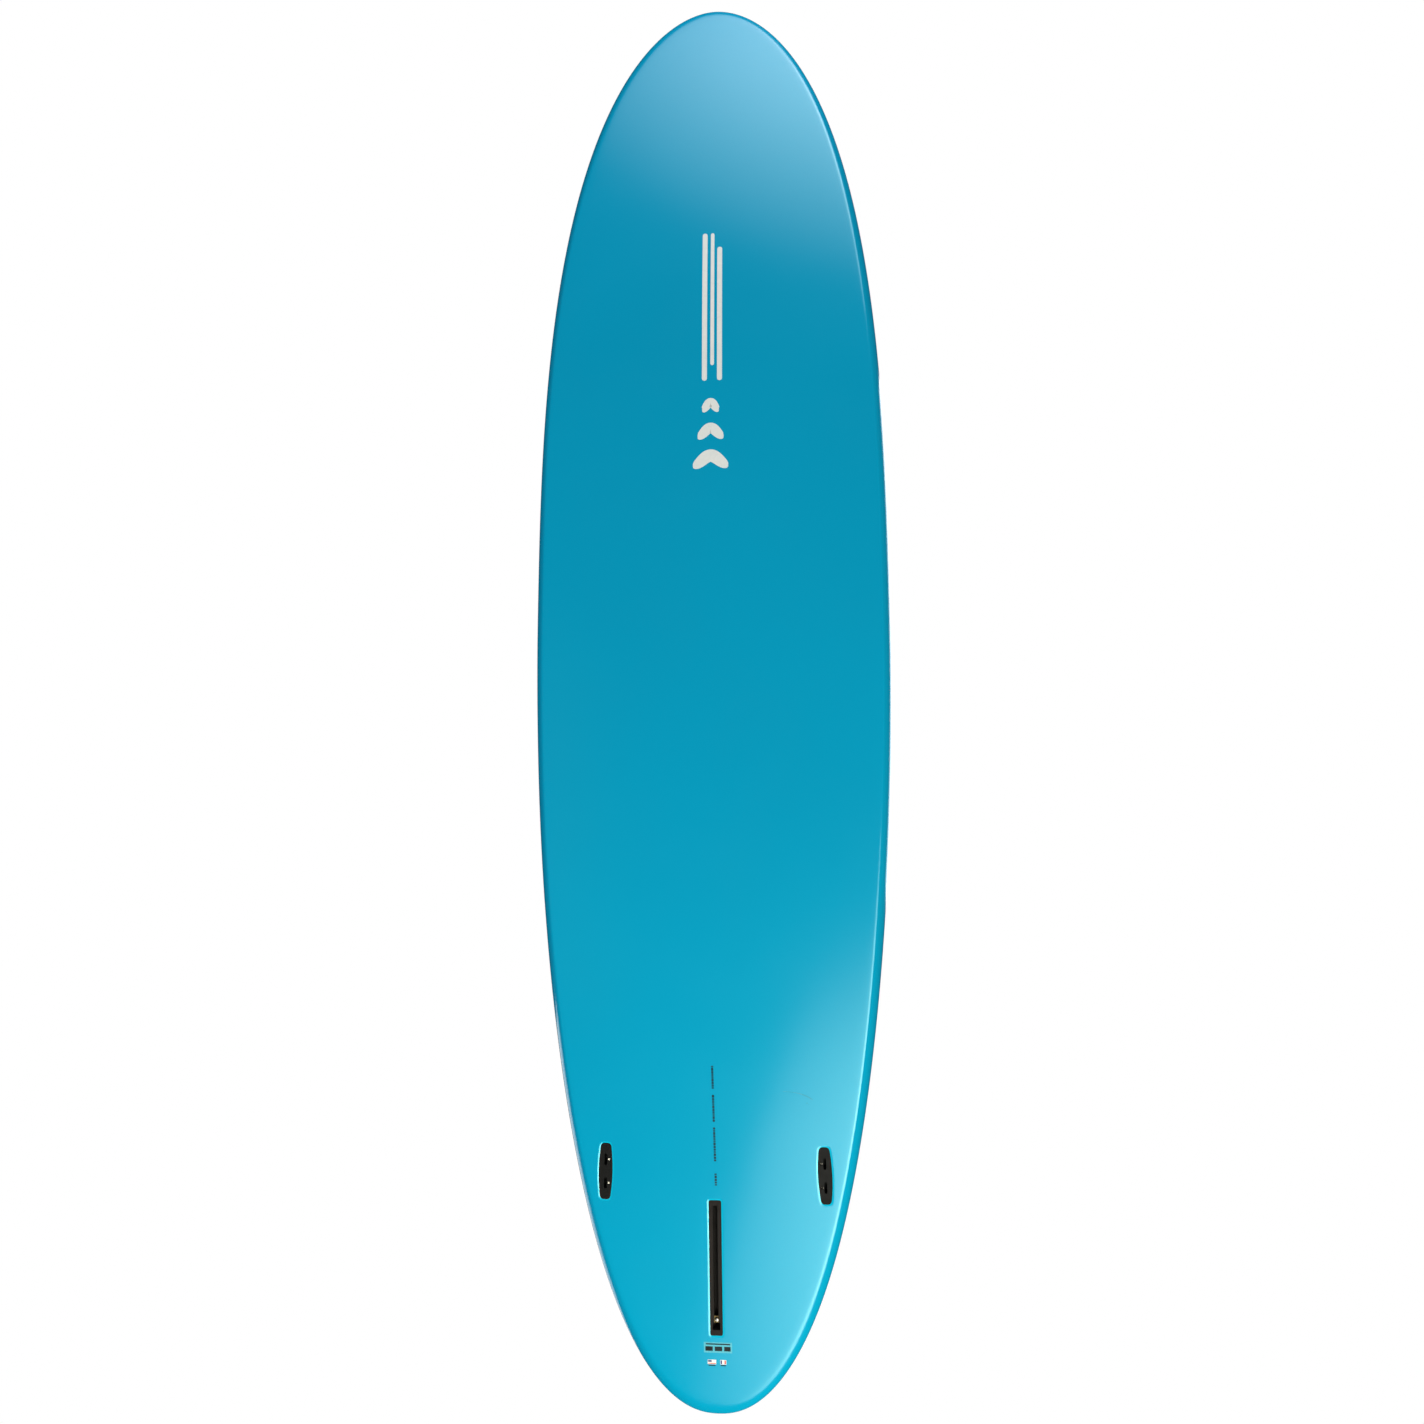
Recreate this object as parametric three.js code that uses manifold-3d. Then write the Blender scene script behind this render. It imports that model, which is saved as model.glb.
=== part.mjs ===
// A rigid stand up paddleboard of about 10 ft 6 in by 30 in, lying deck up, in millimetres.
// +X points to the nose, +Y to port and +Z up through the deck. The origin is under the middle of
// the board, on the surface that its flat middle rests on. The board is a foam core in two halves
// with a stringer between them, inside a bottom skin and a deck skin that meet round the rail.
// Fin fittings are let into the bottom, and a handle, a vent and a leash cup into the deck.
import * as THREE from "three";
import { mergeVertices } from "three/addons/utils/BufferGeometryUtils.js";
import Module from "manifold-3d";

const wasm = await Module();
wasm.setup();

// ---- driving dimensions ----
const LENGTH = 3200;
const WIDTH = 762;
const WIDE_POINT = 22; // the widest place, forward of the middle
// Exponents of the outline's front and rear halves. The second one changes towards the tip.
const NOSE_PLAN = { along: 2.75, across: 1.92, tipAcross: 1.92 };
const TAIL_PLAN = { along: 1.88, across: 2.52, tipAcross: 2.27 };
const TIP_BLEND = 6; // how late along each half that change comes

const NOSE_ROCKER = 190; // how far the bottom rises to the nose
const TAIL_ROCKER = 110;
const FLAT_FROM = -300; // the bottom is flat between these two places
const FLAT_TO = 100;
const NOSE_ROCKER_POWER = 2.4;
const TAIL_STRAIGHT = -1040; // aft of this the bottom runs straight, so the fin fittings lie flush

const THICKNESS = 120; // at the middle, on the centreline
const NOSE_TIP_THICKNESS = 24;
const TAIL_TIP_THICKNESS = 30;
const APEX_SHARE = 0.45; // height of the rail's widest line, as a share of the thickness
const RAIL_SHARE = 0.85; // deck height at the rail's shoulder, as a share of the thickness
const TUCK = 21; // how far inboard the bottom's edge lies
const SHOULDER = 48; // how far inboard the deck's shoulder ends
const EDGE_HARDNESS = 0.3; // 0 is a fully round bottom edge, 1 is a plain bevel

const SKIN = 2.4; // laminate thickness
const GAP = 0.3; // clearance between pieces that touch
const STRINGER = 6;
const STATIONS = 32; // lengthwise divisions of the hull
const CURVE_SEGMENTS = 5; // divisions of each curve in an outline
const SMALL_SEGMENTS = 3; // the same for a small or hidden corner
const BLOCK_SEGMENTS = 2; // the same for a foam block
const ROUND_SIDES = 20; // sides of a round fitting and of its hole
const SHANK_SIDES = 16; // sides of a small round piece

const FIN_BOX = {
  front: -1168, // its front end, from the middle of the board
  length: 272,
  width: 25,
  depth: 25,
  corner: 3.5,
  slot: 9.6,
  endWall: 11,
  floor: 3,
  channelWidth: 16, // the T-shaped groove that the nut plate runs in
  channelTop: 8,
  channelBottom: 13,
  pocket: 15.5, // the wider drop-in hole at the aft end
  recessFrom: 5, // the shallow recess round the slot's front end, from the box's own end
  recessLength: 14.5,
  recessWidth: 17.6,
  recessDepth: 1,
};
const FIN_PLATE = { length: 14, width: 14.6, height: 3.2, corner: 1.2, place: -108, sunk: 8.9 };
const FIN_SCREW = { headRadius: 3.8, head: 2.6, shaftRadius: 1.9, length: 13, sunk: 5.9 };
const CROSS_RECESS = { length: 5, width: 1.2, depth: 1.4 };

const PLUG = {
  centre: -1114, // from the middle of the board
  out: 222.5, // from the centreline
  length: 114,
  width: 28,
  endWidth: 22.4,
  endRound: 11, // length of each rounded end
  endFlat: 0.45, // flat share of each end
  depth: 19,
  toeIn: THREE.MathUtils.degToRad(2),
  slotLength: 23,
  slotWidth: 6,
  slotDepth: 15,
  slotSpacing: 48,
};
const GRUB = {
  radius: 2.2,
  length: 4.5,
  sunk: 0.8,
  out: 7,
  tilt: THREE.MathUtils.degToRad(20),
  holeBelow: 1, // how far the hole goes on under the screw
  socketRadius: 1.25,
  socketDepth: 2.2,
};

const HANDLE = {
  centre: 0,
  length: 150,
  width: 84,
  depth: 44,
  wall: 2.5,
  corner: 20,
  rim: 11,
  rimFoot: 0.8, // the rim clears the crown of the deck
  rimHeight: 2.2,
  barWidth: 18,
  barHeight: 12,
  barCorner: 4,
  barSunk: 3,
  shelfLength: 10, // the two shelves in the cup that carry the bar's ends
  shelfReach: 8,
  shelfMargin: 7,
  sleeve: 2,
  sleeveLength: 96,
  sleeveCorner: 6,
};
const LEASH = { centre: -1505, radius: 14.5, rim: 19, rimHeight: 1.6, depth: 22, wall: 2 };
const LEASH_BAR = { radius: 2, sunk: 5 };
const VENT = { centre: 780, radius: 11, rim: 15, rimHeight: 1.6, depth: 18, wall: 2.5 };
const VENT_SCREW = { headFoot: 4, headTop: 0.8, shank: 5, end: 11, slotWidth: 1.8, slotDepth: 1.6 };
const VENT_SEAL = { slack: 0.2, depth: 6.2 };
const VENT_MEMBRANE = { depth: 12.5 };
const ROUND_CUP = { foot: 0.3, bevel: 1 };

// The dense foam blocks round the fittings, and how far each goes on under its fitting.
const FOAM_BLOCK = { margin: 20, corner: 12, roundWidth: { leash: 70, vent: 60 }, roundCorner: 10 };
const FOAM_UNDER = { finBox: 10, plug: 8, handle: 8, leash: 5, vent: 6 };

const PAD = {
  thickness: 5,
  front: 690,
  split: -420,
  aft: -1400,
  inset: 72, // from the board's outline
  seam: 8,
  noseRound: 420, // length of the front panels' rounded end
  noseTip: 0.02, // how blunt that end is
  handleGap: 6,
};
const KICK = { centre: -1427, length: 46, height: 22, frontHeight: 7, backDrop: 2, crest: 14, width: 190 };
const ABOVE = 300; // a height over the whole board

// ---- colours and finishes ----
const FINISH = {
  cyanPaint: { color: 0x00a0c3, roughness: 0.28, metalness: 0 },
  foam: { color: 0xf3f1ea, roughness: 0.9, metalness: 0 },
  denseFoam: { color: 0xd8c48f, roughness: 0.85, metalness: 0 },
  wood: { color: 0xc99f67, roughness: 0.7, metalness: 0 },
  blackPlastic: { color: 0x242424, roughness: 0.5, metalness: 0 },
  brass: { color: 0xb08d4a, roughness: 0.35, metalness: 1 },
  stainless: { color: 0xc9c9c6, roughness: 0.25, metalness: 1 },
  rubber: { color: 0x1c1c1e, roughness: 0.85, metalness: 0 },
  greyPad: { color: 0x8d9498, roughness: 0.95, metalness: 0 },
};

// ---- solids from three.js geometry, cut and joined ----
const IDENTITY = new THREE.Matrix4();

/** A closed geometry, moved by a matrix, as a solid that can be cut and joined. */
function solid(geometry, matrix = IDENTITY) {
  const bare = geometry.index ? geometry.toNonIndexed() : geometry.clone();
  bare.deleteAttribute("normal");
  bare.deleteAttribute("uv");
  bare.applyMatrix4(matrix);
  const merged = mergeVertices(bare, 1e-4);
  const corners = merged.index.array;
  const kept = [];
  for (let i = 0; i < corners.length; i += 3) {
    const [a, b, c] = [corners[i], corners[i + 1], corners[i + 2]];
    if (a !== b && b !== c && c !== a) kept.push(a, b, c);
  }
  const vertProperties = new Float32Array(merged.attributes.position.array);
  const mesh = new wasm.Mesh({ numProp: 3, vertProperties, triVerts: new Uint32Array(kept) });
  return new wasm.Manifold(mesh);
}

/** The joined solids. */
function join(solids) {
  return solids.reduce((sum, next) => sum.add(next));
}

/** A solid with each of the cutters taken out of it. */
function cut(body, cutters) {
  return cutters.reduce((left, cutter) => left.subtract(cutter), body);
}

const board = new THREE.Group();

/** Adds a piece of the board, from a solid or a geometry, under its own name. */
function addPiece(name, shape, finish) {
  let geometry = shape;
  if (!shape.isBufferGeometry) {
    const mesh = shape.getMesh();
    geometry = new THREE.BufferGeometry();
    geometry.setAttribute("position", new THREE.BufferAttribute(mesh.vertProperties, 3));
    geometry.setIndex(new THREE.BufferAttribute(mesh.triVerts, 1));
    geometry = geometry.toNonIndexed();
    geometry.computeVertexNormals();
  }
  const piece = new THREE.Mesh(geometry, new THREE.MeshStandardMaterial(FINISH[finish]));
  piece.name = name;
  board.add(piece);
}

// ---- outlines ----

/** A rectangle centred on the origin with rounded corners. */
function roundedRectangle(length, width, corner) {
  const [x, y] = [length / 2, width / 2];
  const shape = new THREE.Shape();
  shape.moveTo(x - corner, -y);
  shape.absarc(x - corner, corner - y, corner, -Math.PI / 2, 0);
  shape.absarc(x - corner, y - corner, corner, 0, Math.PI / 2);
  shape.absarc(corner - x, y - corner, corner, Math.PI / 2, Math.PI);
  shape.absarc(corner - x, corner - y, corner, Math.PI, 1.5 * Math.PI);
  return shape;
}

/** The side plug's outline: bowed sides and soft ends, grown all round by a clearance. */
function plugOutline(grow) {
  const end = PLUG.length / 2 + grow;
  const endHalf = PLUG.endWidth / 2 + grow;
  const bow = PLUG.width + 2 * grow - endHalf; // control point that makes the middle full width
  const shoulder = end - PLUG.endRound;
  const tip = PLUG.endFlat * endHalf;
  const shape = new THREE.Shape();
  shape.moveTo(end, -tip);
  shape.lineTo(end, tip);
  shape.quadraticCurveTo(end, endHalf - 0.4, shoulder, endHalf);
  shape.quadraticCurveTo(0, bow, -shoulder, endHalf);
  shape.quadraticCurveTo(-end, endHalf - 0.4, -end, tip);
  shape.lineTo(-end, -tip);
  shape.quadraticCurveTo(-end, 0.4 - endHalf, -shoulder, -endHalf);
  shape.quadraticCurveTo(0, -bow, shoulder, -endHalf);
  shape.quadraticCurveTo(end, 0.4 - endHalf, end, -tip);
  return shape;
}

/** An outline drawn in the XY plane, as a straight prism from one height to another. */
function prism(shape, bottom, top, curveSegments = CURVE_SEGMENTS) {
  const settings = { depth: top - bottom, bevelEnabled: false, curveSegments };
  return new THREE.ExtrudeGeometry(shape, settings).translate(0, 0, bottom);
}

/** A box from its size and its centre in the XY plane, between two heights. */
function block(length, width, bottom, top, x = 0, y = 0) {
  const geometry = new THREE.BoxGeometry(length, width, top - bottom);
  return geometry.translate(x, y, (top + bottom) / 2);
}

/** An upright round bar between two heights. */
function roundBar(radius, bottom, top, sides = 24) {
  const geometry = new THREE.CylinderGeometry(radius, radius, top - bottom, sides);
  return geometry.rotateX(Math.PI / 2).translate(0, 0, (top + bottom) / 2);
}

// ---- the hull's surfaces ----

/** Half of the board's width at a place along it. */
function halfWidth(x) {
  const plan = x >= WIDE_POINT ? NOSE_PLAN : TAIL_PLAN;
  const reach = x >= WIDE_POINT ? LENGTH / 2 - WIDE_POINT : LENGTH / 2 + WIDE_POINT;
  const along = Math.min(Math.abs(x - WIDE_POINT) / reach, 1);
  const across = plan.across + (plan.tipAcross - plan.across) * along ** TIP_BLEND;
  return (WIDTH / 2) * (1 - along ** plan.along) ** (1 / across);
}

const TAIL_BEND = FLAT_FROM - TAIL_STRAIGHT; // length of the curved part of the tail's rocker
const TAIL_RUN = TAIL_STRAIGHT + LENGTH / 2; // length of the straight part
const TAIL_CURVE = TAIL_ROCKER / (TAIL_BEND ** 2 + 2 * TAIL_BEND * TAIL_RUN);
const TAIL_SLOPE = 2 * TAIL_CURVE * TAIL_BEND;
const TAIL_TILT = Math.atan(TAIL_SLOPE);

/** Height of the bottom on the centreline. */
function bottomHeight(x) {
  if (x > FLAT_TO) {
    return NOSE_ROCKER * ((x - FLAT_TO) / (LENGTH / 2 - FLAT_TO)) ** NOSE_ROCKER_POWER;
  }
  if (x > FLAT_FROM) return 0;
  if (x > TAIL_STRAIGHT) return TAIL_CURVE * (FLAT_FROM - x) ** 2;
  return TAIL_CURVE * TAIL_BEND ** 2 + TAIL_SLOPE * (TAIL_STRAIGHT - x);
}

/** Thickness on the centreline. */
function thickness(x) {
  const tip = x > 0 ? NOSE_TIP_THICKNESS : TAIL_TIP_THICKNESS;
  return tip + (THICKNESS - tip) * (1 - (Math.abs(x) / (LENGTH / 2)) ** 2.8);
}

/** Height of the deck, at a place along the board and across it. */
function deckHeight(x, y) {
  const across = Math.min(Math.abs(y) / Math.max(halfWidth(x), 1), 1);
  const dome = (1 - RAIL_SHARE) * thickness(x) * (1 - across ** 2);
  return bottomHeight(x) + RAIL_SHARE * thickness(x) + dome;
}

/** A quarter round that falls from 1 to 0. */
function quarterRound(u) {
  return 1 - Math.sqrt(Math.max(0, 1 - (1 - u) ** 2));
}

// Rows of each surface, from the rail's widest line to the centreline. Rail rows say how far over
// the rail they lie, and panel rows how far from the rail's inner edge to the centreline.
const BOTTOM_ROWS = { rail: [0, 0.15, 0.5, 1], panel: [1], reach: TUCK };
const DECK_ROWS = { rail: [0, 0.12, 0.45, 1], panel: [0.5, 1], reach: SHOULDER };

/** The outline's points on the port side, from tail to nose, each with its inward direction. */
function outline() {
  const at = (angle) => {
    const x = (LENGTH / 2) * Math.sin(angle);
    return [x, halfWidth(x) * Math.sign(Math.cos(angle))];
  };
  const points = [];
  for (let i = 0; i <= STATIONS; i++) {
    const angle = Math.PI * (i / STATIONS - 0.5);
    const tip = i === 0 || i === STATIONS;
    const [x, y] = [(LENGTH / 2) * Math.sin(angle), tip ? 0 : at(angle)[1]];
    const [before, after] = [at(angle - 0.01), at(angle + 0.01)];
    const along = new THREE.Vector2(after[0] - before[0], after[1] - before[1]).normalize();
    if (tip) along.set(0, i === 0 ? 1 : -1);
    points.push({ x, y, inX: along.y, inY: -along.x });
  }
  return points;
}
const OUTLINE = outline();

/** One side's grid of points of the bottom or the deck surface, as rows of points per station. */
function surfaceGrid(kind, side, inset, lift) {
  const rows = kind === "deck" ? DECK_ROWS : BOTTOM_ROWS;
  return OUTLINE.map((edge) => {
    const line = [];
    for (const u of rows.rail) {
      const reach = inset + u * (rows.reach - inset);
      line.push({ x: edge.x + edge.inX * reach, y: edge.y + edge.inY * reach, u });
    }
    const inner = line[line.length - 1];
    for (const v of rows.panel) line.push({ x: inner.x, y: inner.y * (1 - v), u: 1 });
    return line.map(({ x, y, u }) => {
      const apex = bottomHeight(x) + APEX_SHARE * thickness(x);
      let z;
      if (kind === "deck") {
        const top = deckHeight(x, y) - inset;
        z = top - (top - apex) * quarterRound(u) + lift;
      } else {
        const bottom = bottomHeight(x) + inset;
        const round = (1 - EDGE_HARDNESS) * quarterRound(u) + EDGE_HARDNESS * (1 - u);
        z = bottom + (apex - bottom) * round;
      }
      return new THREE.Vector3(x, side * y, z);
    });
  });
}

/** The triangles between the rows of a grid, facing up or down as asked. */
function stitch(grid, flip) {
  const triangles = [];
  for (let i = 0; i + 1 < grid.length; i++) {
    for (let j = 0; j + 1 < grid[i].length; j++) {
      const [a, b, c, d] = [grid[i][j], grid[i + 1][j], grid[i + 1][j + 1], grid[i][j + 1]];
      triangles.push(...(flip ? [a, c, b, a, d, c] : [a, b, c, a, c, d]));
    }
  }
  return triangles;
}

/** Both sides of one surface of the hull. Up means that it faces up. */
function surface(kind, inset, lift, up) {
  const port = stitch(surfaceGrid(kind, 1, inset, lift), up);
  const starboard = stitch(surfaceGrid(kind, -1, inset, lift), !up);
  return [...port, ...starboard];
}

/** The strip round the rail that closes the space between two surfaces' outermost rows. */
function railStrip(outer, inner, facing) {
  const triangles = [];
  for (const side of [1, -1]) {
    const outside = surfaceGrid(outer.kind, side, outer.inset, outer.lift).map((row) => row[0]);
    const inside = surfaceGrid(inner.kind, side, inner.inset, inner.lift).map((row) => row[0]);
    triangles.push(...stitch([outside, inside], facing * side > 0));
  }
  return triangles;
}

/** A closed body from loose triangles. */
function bodyOf(triangles) {
  return solid(new THREE.BufferGeometry().setFromPoints(triangles));
}

/** A skin: the outer surface, the same surface a laminate's thickness inside, and the rail strip. */
function skin(kind) {
  const up = kind === "deck";
  const lift = up ? GAP : 0;
  const strip = railStrip({ kind, inset: 0, lift }, { kind, inset: SKIN, lift }, up ? 1 : -1);
  return bodyOf([...surface(kind, 0, lift, up), ...surface(kind, SKIN, lift, !up), ...strip]);
}

/** The whole space inside the skins. */
function coreSpace() {
  const inset = SKIN + GAP;
  return bodyOf([...surface("deck", inset, 0, true), ...surface("bottom", inset, 0, false)]);
}

/** A layer that lies on the deck, from just above it to the given height over it. */
function deckLayer(low, high) {
  const strip = railStrip(
    { kind: "deck", inset: 0, lift: high },
    { kind: "deck", inset: 0, lift: low },
    1,
  );
  return bodyOf([...surface("deck", 0, high, true), ...surface("deck", 0, low, false), ...strip]);
}

// ---- places of the fittings ----

/** A frame on the bottom: X forward along the surface, Z into the board. */
function bottomFrame(x, y, toeIn = 0) {
  const place = new THREE.Matrix4().makeTranslation(x, y, bottomHeight(x));
  place.multiply(new THREE.Matrix4().makeRotationY(TAIL_TILT));
  return place.multiply(new THREE.Matrix4().makeRotationZ(toeIn));
}

/** A frame on the deck's centreline: X forward along the surface, Z out of the board. */
function deckFrame(x) {
  const slope = (deckHeight(x + 20, 0) - deckHeight(x - 20, 0)) / 40;
  const place = new THREE.Matrix4().makeTranslation(x, 0, deckHeight(x, 0) + GAP);
  return place.multiply(new THREE.Matrix4().makeRotationY(-Math.atan(slope)));
}

const FIN_BOX_FRAME = bottomFrame(FIN_BOX.front - (FIN_BOX.length / 2) * Math.cos(TAIL_TILT), 0);
const PLUG_SIDES = [
  { side: "port", sign: 1 },
  { side: "starboard", sign: -1 },
].map(({ side, sign }) => {
  const frame = bottomFrame(PLUG.centre, sign * PLUG.out, -sign * PLUG.toeIn);
  return { side, sign, frame };
});
const HANDLE_FRAME = deckFrame(HANDLE.centre);
const LEASH_FRAME = deckFrame(LEASH.centre);
const VENT_FRAME = deckFrame(VENT.centre);

// Each insert's dense foam block, and the hole in the skin for the fitting that it holds.
const DEEP = 10; // how far a cutter runs past the face that it opens
const INSERTS = [
  {
    name: "fin_box_foam_block",
    frame: FIN_BOX_FRAME,
    face: "bottom",
    outline: (grow) => roundedRectangle(
      FIN_BOX.length + 2 * FOAM_BLOCK.margin + 2 * grow,
      FIN_BOX.width + 2 * FOAM_BLOCK.margin + 2 * grow,
      FOAM_BLOCK.corner,
    ),
    depth: FIN_BOX.depth + FOAM_UNDER.finBox,
    fitting: (grow) => roundedRectangle(
      FIN_BOX.length + 2 * grow,
      FIN_BOX.width + 2 * grow,
      FIN_BOX.corner + grow,
    ),
    fittingDepth: FIN_BOX.depth,
  },
  ...PLUG_SIDES.map(({ side, frame }) => ({
    name: side + "_plug_foam_block",
    frame,
    face: "bottom",
    outline: (grow) => roundedRectangle(
      PLUG.length + FOAM_BLOCK.margin + 2 * grow,
      PLUG.width + FOAM_BLOCK.margin + 2 * grow,
      FOAM_BLOCK.corner,
    ),
    depth: PLUG.depth + FOAM_UNDER.plug,
    fitting: plugOutline,
    fittingDepth: PLUG.depth,
  })),
  {
    name: "handle_foam_block",
    frame: HANDLE_FRAME,
    face: "deck",
    outline: (grow) => roundedRectangle(
      HANDLE.length + 2 * FOAM_BLOCK.margin + 2 * grow,
      HANDLE.width + 2 * FOAM_BLOCK.margin + 2 * grow,
      HANDLE.corner,
    ),
    depth: HANDLE.depth + FOAM_UNDER.handle,
    fitting: (grow) => roundedRectangle(
      HANDLE.length + 2 * grow,
      HANDLE.width + 2 * grow,
      HANDLE.corner + grow,
    ),
    fittingDepth: HANDLE.depth,
  },
  {
    name: "leash_foam_block",
    frame: LEASH_FRAME,
    face: "deck",
    outline: (grow) => squareBlock(FOAM_BLOCK.roundWidth.leash + 2 * grow),
    depth: LEASH.depth + FOAM_UNDER.leash,
    fitting: (grow) => circleOutline(LEASH.radius + grow),
    fittingDepth: LEASH.depth,
  },
  {
    name: "vent_foam_block",
    frame: VENT_FRAME,
    face: "deck",
    outline: (grow) => squareBlock(FOAM_BLOCK.roundWidth.vent + 2 * grow),
    depth: VENT.depth + FOAM_UNDER.vent,
    fitting: (grow) => circleOutline(VENT.radius + grow),
    fittingDepth: VENT.depth,
  },
];

/** The outline of the foam block round a round fitting. */
function squareBlock(width) {
  return roundedRectangle(width, width, FOAM_BLOCK.roundCorner);
}

/** A circle about the origin. */
function circleOutline(radius) {
  const shape = new THREE.Shape();
  for (let quarter = 0; quarter < 4; quarter++) {
    shape.absarc(0, 0, radius, (quarter * Math.PI) / 2, ((quarter + 1) * Math.PI) / 2);
  }
  return shape;
}

/** The prism of an insert's outline, from outside the skin to a depth in the board. */
function sunkPrism(insert, shape, depth, curveSegments) {
  const inward = insert.face === "bottom" ? 1 : -1;
  const ends = [-inward * DEEP, inward * depth].sort((a, b) => a - b);
  return solid(prism(shape, ends[0], ends[1], curveSegments), insert.frame);
}

/** The hole that a fitting needs, with clearance round it and under it. */
function fittingHole(insert) {
  return sunkPrism(insert, insert.fitting(GAP), insert.fittingDepth + GAP, CURVE_SEGMENTS);
}

// ---- the board's body ----

function addBody() {
  const holes = { bottom: [], deck: [] };
  INSERTS.forEach((insert) => holes[insert.face].push(fittingHole(insert)));
  addPiece("bottom_skin", cut(skin("bottom"), holes.bottom), "cyanPaint");
  addPiece("deck_skin", cut(skin("deck"), holes.deck), "cyanPaint");

  const space = coreSpace();
  const pockets = INSERTS.map((insert) =>
    sunkPrism(insert, insert.outline(GAP), insert.depth + GAP, BLOCK_SEGMENTS),
  );
  const half = WIDTH / 2;
  const from = STRINGER / 2 + GAP;
  for (const [name, sign] of [["port_foam_core", 1], ["starboard_foam_core", -1]]) {
    const side = block(LENGTH + 2 * DEEP, half, -DEEP, ABOVE, 0, sign * (from + half / 2));
    addPiece(name, cut(space.intersect(solid(side)), pockets), "foam");
  }
  const strip = solid(block(LENGTH + 2 * DEEP, STRINGER, -DEEP, ABOVE));
  addPiece("stringer", cut(space.intersect(strip), pockets), "wood");

  for (const insert of INSERTS) {
    const dense = sunkPrism(insert, insert.outline(0), insert.depth, BLOCK_SEGMENTS);
    addPiece(insert.name, cut(space.intersect(dense), [fittingHole(insert)]), "denseFoam");
  }
}

// ---- the centre fin box, its nut plate and its screw ----

function addFinBox() {
  const half = FIN_BOX.length / 2;
  const slotEnd = half - FIN_BOX.endWall;
  const floor = FIN_BOX.depth - FIN_BOX.floor;
  const outside = roundedRectangle(FIN_BOX.length, FIN_BOX.width, FIN_BOX.corner);
  const pocketX = FIN_BOX.pocket / 2 - slotEnd;
  const recessX = half - FIN_BOX.recessFrom - FIN_BOX.recessLength / 2;
  const hollows = [
    block(2 * slotEnd, FIN_BOX.slot, -DEEP, floor),
    block(2 * slotEnd, FIN_BOX.channelWidth, FIN_BOX.channelTop, FIN_BOX.channelBottom),
    block(FIN_BOX.pocket, FIN_BOX.pocket, -DEEP, FIN_BOX.channelBottom, pocketX),
    block(FIN_BOX.recessLength, FIN_BOX.recessWidth, -DEEP, FIN_BOX.recessDepth, recessX),
  ];
  const box = solid(prism(outside, 0, FIN_BOX.depth));
  const body = cut(box, hollows.map((hollow) => solid(hollow)));
  addPiece("centre_fin_box", body.transform(FIN_BOX_FRAME.elements), "blackPlastic");

  const at = FIN_BOX_FRAME.clone();
  at.multiply(new THREE.Matrix4().makeTranslation(FIN_PLATE.place, 0, 0));
  const plateBottom = FIN_PLATE.sunk + FIN_PLATE.height;
  const plate = roundedRectangle(FIN_PLATE.length, FIN_PLATE.width, FIN_PLATE.corner);
  const threaded = cut(solid(prism(plate, FIN_PLATE.sunk, plateBottom, SMALL_SEGMENTS)), [
    solid(roundBar(FIN_SCREW.shaftRadius + GAP, 0, plateBottom + DEEP, SHANK_SIDES)),
  ]);
  addPiece("fin_plate", threaded.transform(at.elements), "brass");

  const headEnd = FIN_SCREW.sunk + FIN_SCREW.head;
  const screwEnd = FIN_SCREW.sunk + FIN_SCREW.length;
  const screw = join([
    solid(roundBar(FIN_SCREW.headRadius, FIN_SCREW.sunk, headEnd, ROUND_SIDES)),
    solid(roundBar(FIN_SCREW.shaftRadius, headEnd - 1, screwEnd, SHANK_SIDES)),
  ]);
  const { length, width, depth } = CROSS_RECESS;
  const crossArm = block(length, width, FIN_SCREW.sunk - 1, FIN_SCREW.sunk + depth);
  const cross = [crossArm, crossArm.clone().rotateZ(Math.PI / 2)].map((arm) => solid(arm));
  addPiece("fin_screw", cut(screw, cross).transform(at.elements), "stainless");
}

// ---- the two side plugs and their grub screws ----

/** A grub screw's own frame in a plug: Z points into the plug and leans towards the slot. */
function grubFrame(slotX, inboard) {
  const place = new THREE.Matrix4().makeTranslation(slotX, inboard * GRUB.out, 0);
  return place.multiply(new THREE.Matrix4().makeRotationX(inboard * GRUB.tilt));
}

function addSidePlug({ side, sign, frame }) {
  const slot = roundedRectangle(PLUG.slotLength, PLUG.slotWidth, PLUG.slotWidth / 2 - 0.01);
  const cutters = [];
  const screws = [];
  for (const [place, direction] of [["front", 1], ["rear", -1]]) {
    const slotX = (direction * PLUG.slotSpacing) / 2;
    const slotHole = prism(slot, -DEEP, PLUG.slotDepth, 4).translate(slotX, 0, 0);
    const grub = grubFrame(slotX, -sign);
    const holeEnd = GRUB.sunk + GRUB.length + GRUB.holeBelow;
    cutters.push(solid(slotHole));
    cutters.push(solid(roundBar(GRUB.radius + GAP, -4, holeEnd, SHANK_SIDES), grub));
    screws.push({ place, at: frame.clone().multiply(grub) });
  }
  const body = cut(solid(prism(plugOutline(0), 0, PLUG.depth)), cutters);
  addPiece(side + "_side_fin_plug", body.transform(frame.elements), "blackPlastic");

  for (const { place, at } of screws) {
    const rod = solid(roundBar(GRUB.radius, GRUB.sunk, GRUB.sunk + GRUB.length, SHANK_SIDES));
    const socketEnd = GRUB.sunk + GRUB.socketDepth;
    const socket = solid(roundBar(GRUB.socketRadius, GRUB.sunk - 1, socketEnd, 6));
    const name = [side, place, "grub_screw"].join("_");
    addPiece(name, rod.subtract(socket).transform(at.elements), "stainless");
  }
}

// ---- the carry handle ----

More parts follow.
